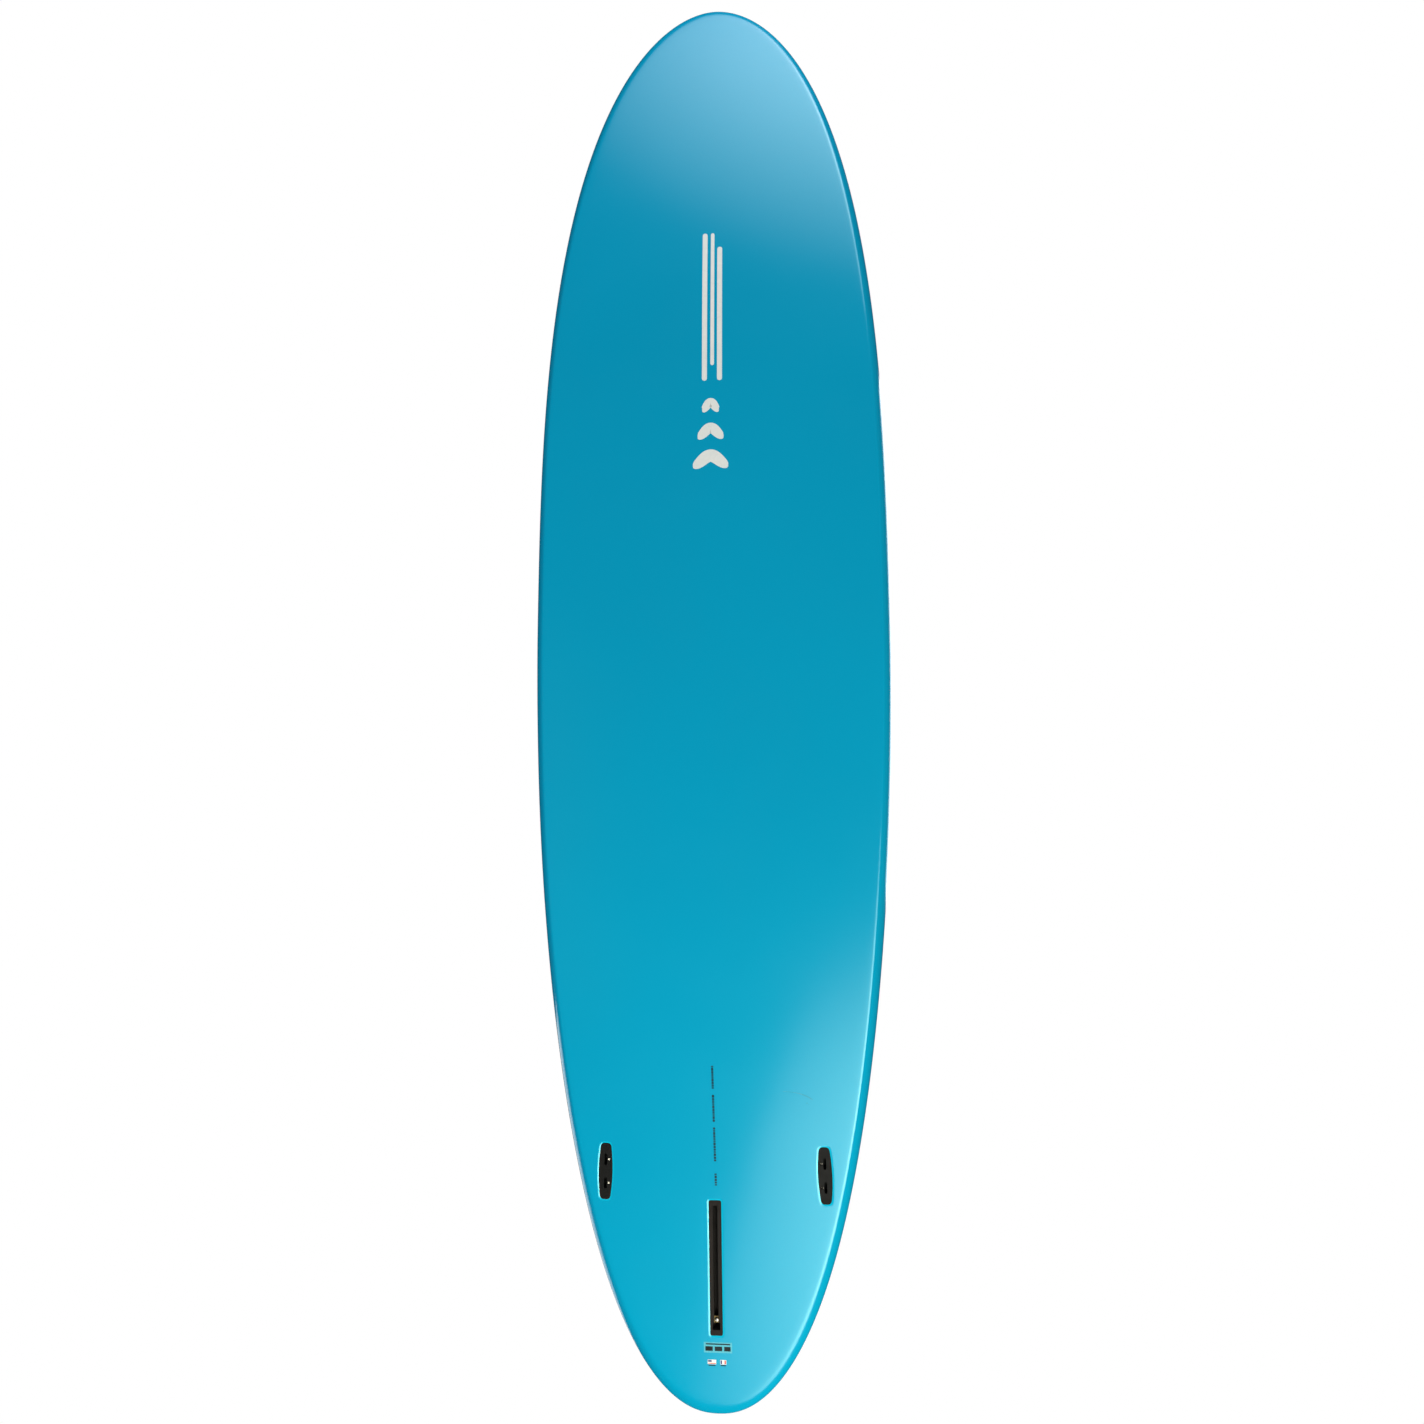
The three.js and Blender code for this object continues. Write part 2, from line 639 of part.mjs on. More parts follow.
function addHandle() {
  const outer = roundedRectangle(HANDLE.length, HANDLE.width, HANDLE.corner);
  const rim = roundedRectangle(
    HANDLE.length + 2 * HANDLE.rim,
    HANDLE.width + 2 * HANDLE.rim,
    HANDLE.corner + HANDLE.rim,
  );
  const inner = roundedRectangle(
    HANDLE.length - 2 * HANDLE.wall,
    HANDLE.width - 2 * HANDLE.wall,
    HANDLE.corner - HANDLE.wall,
  );
  const floor = HANDLE.wall - HANDLE.depth;
  const barTop = -HANDLE.barSunk;
  const barFoot = barTop - HANDLE.barHeight;
  const shelfX = HANDLE.length / 2 - HANDLE.wall - HANDLE.shelfReach / 2;
  const shelfWidth = HANDLE.barWidth + 2 * HANDLE.shelfMargin;
  const shelves = [1, -1].map((end) =>
    solid(block(HANDLE.shelfLength, shelfWidth, floor - 1, barFoot - GAP, end * shelfX)),
  );
  const cup = cut(
    join([
      solid(prism(outer, -HANDLE.depth, HANDLE.rimFoot + 1)),
      solid(prism(rim, HANDLE.rimFoot, HANDLE.rimFoot + HANDLE.rimHeight)),
    ]),
    [solid(prism(inner, floor, DEEP))],
  );
  addPiece("handle_cup", join([cup, ...shelves]).transform(HANDLE_FRAME.elements), "blackPlastic");

  const barLength = HANDLE.length - 2 * HANDLE.wall - 2 * GAP;
  const section = roundedRectangle(HANDLE.barWidth, HANDLE.barHeight, HANDLE.barCorner);
  const along = new THREE.Matrix4().makeRotationY(Math.PI / 2);
  along.multiply(new THREE.Matrix4().makeRotationZ(Math.PI / 2));
  const centre = new THREE.Matrix4().makeTranslation(0, 0, (barTop + barFoot) / 2);
  const place = HANDLE_FRAME.clone().multiply(centre).multiply(along);
  const bar = solid(prism(section, -barLength / 2, barLength / 2, SMALL_SEGMENTS));
  addPiece("handle_grip_bar", bar.transform(place.elements), "blackPlastic");

  const [insideWidth, insideHeight] = [HANDLE.barWidth + 2 * GAP, HANDLE.barHeight + 2 * GAP];
  const sleeve = roundedRectangle(
    insideWidth + 2 * HANDLE.sleeve,
    insideHeight + 2 * HANDLE.sleeve,
    HANDLE.sleeveCorner,
  );
  sleeve.holes.push(roundedRectangle(insideWidth, insideHeight, HANDLE.barCorner));
  const half = HANDLE.sleeveLength / 2;
  const tube = solid(prism(sleeve, -half, half, SMALL_SEGMENTS));
  addPiece("handle_grip_sleeve", tube.transform(place.elements), "rubber");
}

// ---- the leash cup and the vent ----

/** A round cup with a rim on the deck: Z is out of the board, and the cup's mouth is at the top. */
function roundCup({ radius, rim, rimHeight, depth, wall }, sides) {
  const floor = wall - depth;
  const { foot, bevel } = ROUND_CUP;
  const profile = [
    [0, -depth],
    [radius, -depth],
    [radius, foot],
    [rim, foot],
    [rim - bevel, foot + rimHeight],
    [radius - wall, foot + rimHeight],
    [radius - wall, floor],
    [0, floor],
  ].map(([r, z]) => new THREE.Vector2(r, z));
  return new THREE.LatheGeometry(profile, sides).rotateX(Math.PI / 2);
}

function addLeashCup() {
  const cup = solid(roundCup(LEASH, ROUND_SIDES));
  addPiece("leash_cup", cup.transform(LEASH_FRAME.elements), "blackPlastic");
  const reach = LEASH.radius - LEASH.wall - GAP;
  const bar = roundBar(LEASH_BAR.radius, -reach, reach, SHANK_SIDES).rotateX(Math.PI / 2);
  bar.translate(0, 0, -LEASH_BAR.sunk);
  addPiece("leash_bar", solid(bar, LEASH_FRAME), "stainless");
}

function addVent() {
  const cup = solid(roundCup(VENT, ROUND_SIDES));
  addPiece("vent_housing", cup.transform(VENT_FRAME.elements), "blackPlastic");

  const shoulder = VENT.radius - VENT.wall - GAP;
  const { headFoot, headTop, shank, end, slotWidth, slotDepth } = VENT_SCREW;
  const screw = join([
    solid(roundBar(shoulder, -headFoot, headTop)),
    solid(roundBar(shank, -end, 1 - headFoot)),
  ]);
  const coinSlot = solid(block(2 * shoulder + 2, slotWidth, headTop - slotDepth, headTop + 3));
  const vent = screw.subtract(coinSlot);
  addPiece("vent_screw", vent.transform(VENT_FRAME.elements), "stainless");

  const ringOutline = circleOutline(shoulder - VENT_SEAL.slack);
  ringOutline.holes.push(circleOutline(shank + GAP));
  const ring = solid(prism(ringOutline, -VENT_SEAL.depth, -headFoot - GAP));
  addPiece("vent_o_ring", ring.transform(VENT_FRAME.elements), "rubber");

  const floor = VENT.wall + GAP - VENT.depth;
  const membrane = solid(roundBar(shoulder, floor, -VENT_MEMBRANE.depth, ROUND_SIDES));
  addPiece("vent_membrane", membrane.transform(VENT_FRAME.elements), "foam");
}

// ---- the grip pads on the deck ----

/** The deck pad's outline between two places along the board, on one side or on both. */
function padOutline(from, to, innerEdge, noseRound) {
  const steps = 12;
  const edge = [];
  for (let i = 0; i <= steps; i++) {
    const x = from + ((to - from) * i) / steps;
    const near = noseRound ? Math.max(0, (x - (to - noseRound)) / noseRound) : 0;
    const narrowing = Math.sqrt(Math.max(1 - near ** 2.2, PAD.noseTip));
    edge.push([x, (halfWidth(x) - PAD.inset) * narrowing]);
  }
  const shape = new THREE.Shape();
  shape.moveTo(from, innerEdge);
  edge.forEach(([x, y]) => shape.lineTo(x, y));
  shape.lineTo(to, innerEdge);
  return shape;
}

/** The same outline on the other side of the centreline. */
function mirrored(shape) {
  return new THREE.Shape(shape.getPoints(1).map((p) => new THREE.Vector2(p.x, -p.y)).reverse());
}

function addPads() {
  const layer = deckLayer(2 * GAP, 2 * GAP + PAD.thickness);
  const clearance = HANDLE.rim + PAD.handleGap;
  const handleHole = solid(
    prism(
      roundedRectangle(
        HANDLE.length + 2 * clearance,
        HANDLE.width + 2 * clearance,
        HANDLE.corner + clearance,
      ),
      0,
      ABOVE,
    ),
  );
  const seam = PAD.seam / 2;
  const front = padOutline(PAD.split + seam, PAD.front, seam, PAD.noseRound);
  const rear = padOutline(PAD.aft, PAD.split - seam, seam, 0);
  const panels = [
    ["deck_pad_front_port", front],
    ["deck_pad_front_starboard", mirrored(front)],
    ["deck_pad_rear_port", rear],
    ["deck_pad_rear_starboard", mirrored(rear)],
  ];
  for (const [name, shape] of panels) {
    addPiece(name, layer.intersect(solid(prism(shape, 0, ABOVE))).subtract(handleHole), "greyPad");
  }

  const rise = new THREE.Shape();
  rise.moveTo(-KICK.length / 2, -DEEP);
  rise.lineTo(KICK.length / 2, -DEEP);
  rise.lineTo(KICK.length / 2, KICK.frontHeight);
  rise.quadraticCurveTo(0, KICK.frontHeight + 2, KICK.crest - KICK.length / 2, KICK.height);
  rise.lineTo(-KICK.length / 2, KICK.height - KICK.backDrop);
  const kick = prism(rise, -KICK.width / 2, KICK.width / 2, 6).rotateX(Math.PI / 2);
  const above = deckLayer(2 * GAP, 3 * KICK.height);
  const wedge = solid(kick, deckFrame(KICK.centre)).intersect(above);
  addPiece("tail_kick_pad", wedge, "greyPad");
}

addBody();
addFinBox();
PLUG_SIDES.forEach(addSidePlug);
addHandle();
addLeashCup();
addVent();
addPads();

export default board;
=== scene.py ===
# %% [markdown]
# # A stand up paddleboard, dressed for its portrait
# The board is 10 feet 6 inches long. Its CAD model gives every fitting its true place and size. This lesson
# keeps that frame and builds the looks round it: painted skins, moulded fin boxes, grip pads and the small
# wear that a used board has. Everything is in metres, X runs to the nose, Y to port and Z out of the deck.

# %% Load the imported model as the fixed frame
import math

import bpy
import numpy as np
from mathutils import Matrix, Vector
from mathutils.geometry import delaunay_2d_cdt


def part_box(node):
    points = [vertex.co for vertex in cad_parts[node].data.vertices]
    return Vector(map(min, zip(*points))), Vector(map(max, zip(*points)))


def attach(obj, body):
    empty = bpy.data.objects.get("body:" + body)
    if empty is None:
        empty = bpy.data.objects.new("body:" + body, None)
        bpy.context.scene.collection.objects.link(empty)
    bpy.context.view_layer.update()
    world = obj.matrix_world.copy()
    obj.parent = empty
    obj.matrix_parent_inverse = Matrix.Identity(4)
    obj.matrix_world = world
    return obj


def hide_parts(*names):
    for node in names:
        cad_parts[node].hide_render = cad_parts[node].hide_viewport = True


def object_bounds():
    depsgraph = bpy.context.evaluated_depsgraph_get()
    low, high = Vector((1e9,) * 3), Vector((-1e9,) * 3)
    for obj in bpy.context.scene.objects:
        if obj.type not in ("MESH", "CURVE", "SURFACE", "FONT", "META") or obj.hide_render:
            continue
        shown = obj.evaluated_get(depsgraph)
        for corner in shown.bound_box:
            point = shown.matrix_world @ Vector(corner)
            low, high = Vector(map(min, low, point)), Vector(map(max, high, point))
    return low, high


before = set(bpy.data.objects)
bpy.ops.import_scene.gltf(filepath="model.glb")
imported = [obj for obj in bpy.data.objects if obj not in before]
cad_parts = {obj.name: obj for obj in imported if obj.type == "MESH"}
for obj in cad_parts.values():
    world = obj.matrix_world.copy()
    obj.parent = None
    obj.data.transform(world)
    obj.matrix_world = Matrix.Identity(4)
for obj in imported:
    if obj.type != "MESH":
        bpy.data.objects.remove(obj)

CAD_LOW, CAD_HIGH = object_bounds()
LENGTH = CAD_HIGH.x - CAD_LOW.x
WIDTH = CAD_HIGH.y - CAD_LOW.y
MM = 0.001
print("CAD nodes:", len(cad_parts), " length", round(LENGTH, 4), " width", round(WIDTH, 4))

# %% [markdown]
# ## The lines of the board
# A shaper draws a board with three lines: the plan outline, the rocker, which is the bend of the bottom from
# tail to nose, and the foil, which is the thickness. Each is a formula here, so the skins, the pads and the
# graphics all lie on the same surface. The tail's rocker ends in a straight run, where the fins sit.

# %% Plan outline, rocker and foil
WIDE_POINT = 22 * MM
NOSE_PLAN = {"along": 2.75, "across": 1.92, "tip": 1.92}
TAIL_PLAN = {"along": 1.88, "across": 2.52, "tip": 2.27}
NOSE_ROCKER = 190 * MM
TAIL_ROCKER = 110 * MM
FLAT_FROM = -300 * MM
FLAT_TO = 100 * MM
TAIL_STRAIGHT = -1040 * MM
THICKNESS = 120 * MM
NOSE_TIP = 24 * MM
TAIL_TIP = 30 * MM
APEX_SHARE = 0.45
RAIL_SHARE = 0.85

TAIL_BEND = FLAT_FROM - TAIL_STRAIGHT
TAIL_RUN = TAIL_STRAIGHT + LENGTH / 2
TAIL_CURVE = TAIL_ROCKER / (TAIL_BEND**2 + 2 * TAIL_BEND * TAIL_RUN)
TAIL_SLOPE = 2 * TAIL_CURVE * TAIL_BEND
TAIL_TILT = math.atan(TAIL_SLOPE)


def half_width(x):
    """Half of the board's width at a place along it."""
    x = np.asarray(x, float)
    halves = []
    for plan, reach in ((NOSE_PLAN, LENGTH / 2 - WIDE_POINT), (TAIL_PLAN, LENGTH / 2 + WIDE_POINT)):
        along = np.minimum(np.abs(x - WIDE_POINT) / reach, 1)
        across = plan["across"] + (plan["tip"] - plan["across"]) * along**6
        halves.append(WIDTH / 2 * np.maximum(1 - along ** plan["along"], 0) ** (1 / across))
    return np.where(x >= WIDE_POINT, halves[0], halves[1])


def bottom_height(x):
    """Height of the bottom above the surface that the board lies on."""
    x = np.asarray(x, float)
    nose = NOSE_ROCKER * (np.maximum(x - FLAT_TO, 0) / (LENGTH / 2 - FLAT_TO)) ** 2.4
    bend = TAIL_CURVE * np.clip(FLAT_FROM - x, 0, TAIL_BEND) ** 2
    run = TAIL_SLOPE * np.maximum(TAIL_STRAIGHT - x, 0)
    return nose + bend + run


def thickness(x):
    """Thickness on the centreline."""
    x = np.asarray(x, float)
    tip = np.where(x > 0, NOSE_TIP, TAIL_TIP)
    return tip + (THICKNESS - tip) * (1 - np.minimum(np.abs(x) / (LENGTH / 2), 1) ** 2.8)


def deck_height(x, y):
    """Height of the crowned deck."""
    across = np.minimum(np.abs(y) / np.maximum(half_width(x), MM), 1)
    return bottom_height(x) + thickness(x) * (RAIL_SHARE + (1 - RAIL_SHARE) * (1 - across**2))


print("tail tilt", round(math.degrees(TAIL_TILT), 2), "degrees")

# %% [markdown]
# ## The camera
# The board is seen from below, from a little behind its middle, nose at the top. The lens is a fairly wide
# one at about two metres, so the nose and the tail lean away. Pitch and yaw tip the view a few degrees.

# %% Camera
EYE = Vector((-0.4430, 0.1748, -2.0976))
PITCH, YAW, ROLL = (math.radians(a) for a in (7.086, -4.686, -0.212))
forward = Vector((math.sin(PITCH), math.sin(YAW) * math.cos(PITCH), math.cos(YAW) * math.cos(PITCH)))
upright = (Vector((1, 0, 0)) - forward * forward.x).normalized()
rightward = forward.cross(upright)
right_axis = math.cos(ROLL) * rightward + math.sin(ROLL) * upright
up_axis = math.cos(ROLL) * upright - math.sin(ROLL) * rightward

camera = bpy.data.objects.new("camera", bpy.data.cameras.new("camera"))
bpy.context.scene.collection.objects.link(camera)
camera.matrix_world = Matrix.Translation(EYE) @ Matrix((right_axis, up_axis, -forward)).transposed().to_4x4()
camera.data.sensor_width = 36
camera.data.lens = 25.766
camera.data.clip_start, camera.data.clip_end = 0.05, 100
bpy.context.scene.camera = camera
print("camera", round(EYE.length, 3), "m from the middle of the bottom")

# %% [markdown]
# ## Studio
# Satin paint is lit twice over: softly and evenly for its colour, and by mirrored boxes for its sheen. A
# studio parts the two with polarising film. Here each box says which of them it gives. The sheen boxes have a
# narrow spread, so their mirror image fades out instead of ending in a hard edge: one gives the pale sheen on
# the nose, the other the one that grows towards the port rail at the tail. The room is white to the eye but
# dark in reflections. The floor shows from above only, so that the bottom can be seen and lit.

# %% Lights and world
BOTH, COLOUR_ONLY, SHEEN_ONLY = (True, True), (True, False), (False, True)


def softbox(name, place, target, width, height, radiance, gives=BOTH, spread=180, blue=1.0):
    """A soft rectangular light, its width as near along X as it can be. Its radiance is the brightness of
    its face when it spreads over 180 degrees, and a narrower spread gathers the same light."""
    light = bpy.data.lights.new(name, "AREA")
    light.shape = "RECTANGLE"
    light.size, light.size_y = width, height
    light.energy = radiance * math.pi * width * height
    light.spread = math.radians(spread)
    light.color = (1, 1, blue)
    box = bpy.data.objects.new(name, light)
    bpy.context.scene.collection.objects.link(box)
    back = (Vector(place) - Vector(target)).normalized()
    side = (Vector((1, 0, 0)) - back * back.x).normalized()
    turn = Matrix((side, back.cross(side), back)).transposed().to_4x4()
    box.matrix_world = Matrix.Translation(place) @ turn
    box.visible_camera = False
    box.visible_diffuse, box.visible_glossy = gives


softbox("tail fill", (-2.35, 1.12, -1.55), (-1.1, 0.1, 0.1), 2.0, 2.0, 4.5, COLOUR_ONLY, blue=0.78)
softbox("nose fill", (3.1, 0.62, -0.38), (1.3, 0.1, 0.1), 1.8, 1.6, 4.0, COLOUR_ONLY)
softbox("under fill", (-0.6, -1.6, -2.6), (-0.2, 0, 0), 2.4, 1.6, 1.2, COLOUR_ONLY)
softbox("tail sheen", (-2.037, 0.88, -1.193), (-1.15, 0.15, 0.06), 3.4, 1.98, 1.62, SHEEN_ONLY, 63, 0.86)
softbox("nose sheen", (3.5, 0.725, -0.845), (1.3, 0, 0.1), 3.4, 3.4, 0.67, SHEEN_ONLY, 57)
softbox("deck softbox", (0.6, 1.6, 3.2), (0, 0, 0.1), 3.0, 2.0, 2.2)
softbox("deck fill", (-2.4, -2.2, 1.9), (-0.3, 0, 0.1), 2.0, 1.6, 1.4)

ROOM = {"seen": 1.0, "lighting": 0.46, "mirrored": 0.008}


def make_room():
    """A world that is white to the eye, gentle as light and dark in reflections."""
    world = bpy.data.worlds.new("studio room")
    world.use_nodes = True
    tree = world.node_tree
    tree.nodes.clear()
    shades = {}
    for part, strength in ROOM.items():
        shades[part] = tree.nodes.new("ShaderNodeBackground")
        shades[part].inputs["Strength"].default_value = strength
        shades[part].inputs["Color"].default_value = (1, 1, 1, 1)
    path = tree.nodes.new("ShaderNodeLightPath")
    mirrored = tree.nodes.new("ShaderNodeMixShader")
    tree.links.new(path.outputs["Is Glossy Ray"], mirrored.inputs[0])
    tree.links.new(shades["lighting"].outputs[0], mirrored.inputs[1])
    tree.links.new(shades["mirrored"].outputs[0], mirrored.inputs[2])
    seen = tree.nodes.new("ShaderNodeMixShader")
    tree.links.new(path.outputs["Is Camera Ray"], seen.inputs[0])
    tree.links.new(mirrored.outputs[0], seen.inputs[1])
    tree.links.new(shades["seen"].outputs[0], seen.inputs[2])
    tree.links.new(seen.outputs[0], tree.nodes.new("ShaderNodeOutputWorld").inputs[0])
    bpy.context.scene.world = world


make_room()
bpy.context.scene.view_settings.view_transform = "Standard"

# %% [markdown]
# ## Tools for shader nodes
# A finish is a small network of nodes. `add_node` places one node and fills its sockets, with a value or with
# a link from another node. `new_group` makes a shared effect with named sockets, which each material then
# uses with its own values. The shader itself always stays in the material.

# %% Node helpers
def add_node(tree, kind, sockets=None, **settings):
    """Adds a node. Sockets maps an input's name or number to a value or to the output to link."""
    node = tree.nodes.new(kind)
    for setting, value in settings.items():
        setattr(node, setting, value)
    for socket, value in (sockets or {}).items():
        if isinstance(value, bpy.types.NodeSocket):
            tree.links.new(value, node.inputs[socket])
        else:
            node.inputs[socket].default_value = value
    return node


def new_group(name, inputs, outputs):
    """A node group with named inputs (label: socket type, value) and outputs (label: socket type)."""
    group = bpy.data.node_groups.new(name, "ShaderNodeTree")
    for label, (kind, value) in inputs.items():
        group.interface.new_socket(label, in_out="INPUT", socket_type=kind).default_value = value
    for label, kind in outputs.items():
        group.interface.new_socket(label, in_out="OUTPUT", socket_type=kind)
    return group, group.nodes.new("NodeGroupInput").outputs, group.nodes.new("NodeGroupOutput").inputs


def use_group(tree, group, **sockets):
    """Places a group in a material. An underscore in a name stands for a space."""
    node = tree.nodes.new("ShaderNodeGroup")
    node.node_tree = group
    for label, value in sockets.items():
        socket = node.inputs[label.replace("_", " ")]
        if isinstance(value, bpy.types.NodeSocket):
            tree.links.new(value, socket)
        else:
            socket.default_value = value
    return node


def mix_colour(tree, factor, first, second):
    """A blend of two colours, each a value or a link."""
    node = add_node(tree, "ShaderNodeMix", {0: factor, 6: first, 7: second}, data_type="RGBA")
    return node.outputs[2]


def rescale(tree, value, low, high, to_low=0.0, to_high=1.0):
    """Maps a value from one range to another, held inside the second."""
    sockets = {"Value": value, "From Min": low, "From Max": high, "To Min": to_low, "To Max": to_high}
    return add_node(tree, "ShaderNodeMapRange", sockets).outputs[0]


FLOAT, COLOUR, VECTOR = "NodeSocketFloat", "NodeSocketColor", "NodeSocketVector"

# %% [markdown]
# ## Effects that several finishes share
# *Fine grain* is a small even unevenness, for bump: the orange peel of sprayed paint or the tooth of moulded
# plastic. *Tint drift* lets a colour wander slowly between two close shades, as hand-sprayed paint does.
# *Rubs* draws sparse hairline scratches and soft smears. *Worn edges* finds where a surface turns sharply by
# comparing its normal with a rounded one.

# %% Shared effect groups
def fine_grain():
    inputs = {"Scale": (FLOAT, 400.0), "Stretch": (VECTOR, (1, 1, 1)), "Detail": (FLOAT, 3.0)}
    group, given, result = new_group("Fine grain", inputs, {"Height": FLOAT})
    place = add_node(group, "ShaderNodeTexCoord").outputs["Object"]
    stretched = add_node(group, "ShaderNodeVectorMath", {0: place, 1: given["Stretch"]}, operation="MULTIPLY")
    sockets = {"Vector": stretched.outputs[0], "Scale": given["Scale"], "Detail": given["Detail"]}
    group.links.new(add_node(group, "ShaderNodeTexNoise", sockets).outputs[0], result["Height"])
    return group


def tint_drift():
    inputs = {"Shade": (COLOUR, (1, 1, 1, 1)), "Other Shade": (COLOUR, (0, 0, 0, 1)), "Scale": (FLOAT, 3.0)}
    group, given, result = new_group("Tint drift", inputs, {"Color": COLOUR, "Mask": FLOAT})
    place = add_node(group, "ShaderNodeTexCoord").outputs["Object"]
    cloud = add_node(group, "ShaderNodeTexNoise", {"Vector": place, "Scale": given["Scale"], "Detail": 4.0})
    mask = rescale(group, cloud.outputs[0], 0.3, 0.7)
    group.links.new(mix_colour(group, mask, given["Shade"], given["Other Shade"]), result["Color"])
    group.links.new(mask, result["Mask"])
    return group


def rubs():
    inputs = {"Scale": (FLOAT, 6.0), "Amount": (FLOAT, 0.5), "Stretch": (VECTOR, (1, 9, 9))}
    group, given, result = new_group("Rubs", inputs, {"Scratches": FLOAT, "Smears": FLOAT})
    place = add_node(group, "ShaderNodeTexCoord").outputs["Object"]
    stretched = add_node(group, "ShaderNodeVectorMath", {0: place, 1: given["Stretch"]}, operation="MULTIPLY")
    sockets = {"Vector": stretched.outputs[0], "Scale": given["Scale"], "Detail": 6.0, "Distortion": 0.6}
    lines = add_node(group, "ShaderNodeTexNoise", sockets, noise_type="RIDGED_MULTIFRACTAL", normalize=True)
    hairs = rescale(group, lines.outputs[0], 0.62, 0.9)
    patch = add_node(group, "ShaderNodeTexNoise", {"Vector": place, "Scale": given["Scale"], "Detail": 3.0})
    where = rescale(group, patch.outputs[0], 0.45, 0.75)
    both = add_node(group, "ShaderNodeMath", {0: hairs, 1: where}, operation="MULTIPLY")
    sockets = {0: both.outputs[0], 1: given["Amount"]}
    scratches = add_node(group, "ShaderNodeMath", sockets, operation="MULTIPLY")
    smears = add_node(group, "ShaderNodeMath", {0: where, 1: given["Amount"]}, operation="MULTIPLY")
    group.links.new(scratches.outputs[0], result["Scratches"])
    group.links.new(smears.outputs[0], result["Smears"])
    return group


def worn_edges():
    inputs = {"Width": (FLOAT, 0.6 * MM), "Amount": (FLOAT, 0.6)}
    group, given, result = new_group("Worn edges", inputs, {"Mask": FLOAT})
    rounded = add_node(group, "ShaderNodeBevel", {"Radius": given["Width"]}, samples=4)
    true = add_node(group, "ShaderNodeNewGeometry").outputs["Normal"]
    sockets = {0: rounded.outputs[0], 1: true}
    agree = add_node(group, "ShaderNodeVectorMath", sockets, operation="DOT_PRODUCT").outputs["Value"]
    turned = rescale(group, agree, 0.97, 0.75)
    mask = add_node(group, "ShaderNodeMath", {0: turned, 1: given["Amount"]}, operation="MULTIPLY")
    group.links.new(mask.outputs[0], result["Mask"])
    return group


FINE_GRAIN, TINT_DRIFT, RUBS, WORN_EDGES = fine_grain(), tint_drift(), rubs(), worn_edges()
print("effect groups:", [g.name for g in bpy.data.node_groups])

# %% [markdown]
# ## Finishes
# `finish` makes a material with its shader. Values that are the same all over, such as the strength of a
# varnish, sit on the shader. What changes over the surface comes from the groups.

# %% The start of every finish
FINISHES = {}


def finish(name, **values):
    """A new material with a Principled shader. An underscore in a name stands for a space."""
    material = bpy.data.materials.new(name)
    material.use_nodes = True
    tree = material.node_tree
    shader = tree.nodes["Principled BSDF"]
    for label, value in values.items():
        shader.inputs[label.replace("_", " ")].default_value = value
    FINISHES[name] = material
    return tree, shader


def bump(tree, shader, height, distance, strength=1.0):
    """Raises the surface by a height mask, given the height of the highest place."""
    sockets = {"Height": height, "Distance": distance, "Strength": strength}
    tree.links.new(add_node(tree, "ShaderNodeBump", sockets).outputs[0], shader.inputs["Normal"])


# %% [markdown]
# ### Board paint
# A sprayed polyurethane paint, rubbed to a satin gloss. The real thing shows a very even cyan, a trace of
# orange peel, a few hair scratches and slightly duller smears where hands and water have been.

# %% Board paint, on the bottom and the deck
CYAN = (0.0, 0.352, 0.598, 1)
CYAN_DEEP = (0.0, 0.340, 0.580, 1)
# The lighter cyan of the painted highlight round each opening in the bottom.
CYAN_RIM_HIGHLIGHT = (0.0, 0.60, 0.86, 1)
DECK_WHITE = (0.80, 0.80, 0.76, 1)
PINLINE = (0.010, 0.055, 0.085, 1)
RAIL_BAND = 62 * MM
PINLINE_WIDTH = 5 * MM
LINE_BLUR = 0.4 * MM


def board_paint(name, two_tone):
    """Satin paint. The two-tone one is cyan by the rail, then a dark pinline, then off-white."""
    tint = (1, 1, 1, 1) if two_tone else (0.6, 1, 1, 1)
    tree, shader = finish(name, IOR=1.5, Coat_Weight=0.15, Coat_Roughness=0.12, Specular_Tint=tint)
    drift = use_group(tree, TINT_DRIFT, Shade=CYAN, Other_Shade=CYAN_DEEP, Scale=2.2)
    # Round each opening in the bottom the cyan turns lighter: a painted highlight, added to the light that
    # the sunk round really catches.
    near = add_node(tree, "ShaderNodeAttribute", attribute_name="painted_rim_highlight").outputs["Fac"]
    colour = mix_colour(tree, rescale(tree, near, 0.1, 0.7, 0, 0.7), drift.outputs["Color"], CYAN_RIM_HIGHLIGHT)
    if two_tone:
        rail = add_node(tree, "ShaderNodeAttribute", attribute_name="from_rail").outputs["Fac"]
        pale = use_group(tree, TINT_DRIFT, Shade=DECK_WHITE, Other_Shade=(0.75, 0.75, 0.71, 1), Scale=3.0)
        white_from = RAIL_BAND + PINLINE_WIDTH
        inside = rescale(tree, rail, white_from, white_from + LINE_BLUR)
        lined = rescale(tree, rail, RAIL_BAND, RAIL_BAND + LINE_BLUR)
        colour = mix_colour(tree, lined, colour, PINLINE)
        colour = mix_colour(tree, inside, colour, pale.outputs["Color"])
    marks = use_group(tree, RUBS, Scale=5.0, Amount=0.45, Stretch=(1, 7, 7))
    faint = rescale(tree, marks.outputs["Scratches"], 0, 1, 0, 0.2)
    tree.links.new(mix_colour(tree, faint, colour, (0.05, 0.45, 0.62, 1)), shader.inputs["Base Color"])
    dulled = rescale(tree, marks.outputs["Smears"], 0, 1, 0.15, 0.2)
    tree.links.new(dulled, shader.inputs["Roughness"])
    peel = use_group(tree, FINE_GRAIN, Scale=260.0, Detail=2.0)
    bump(tree, shader, peel.outputs["Height"], 0.012 * MM)


board_paint("bottom paint", two_tone=False)
board_paint("deck paint", two_tone=True)
print("finishes so far:", list(FINISHES))

# %% [markdown]
# ### Moulded plastic, metals and rubber
# Fin boxes are glass-filled nylon: black, satin, with a faint tooth and paler rubbed edges. The nut plate is
# brass, dulled by salt. Screws are stainless with turned hairlines.

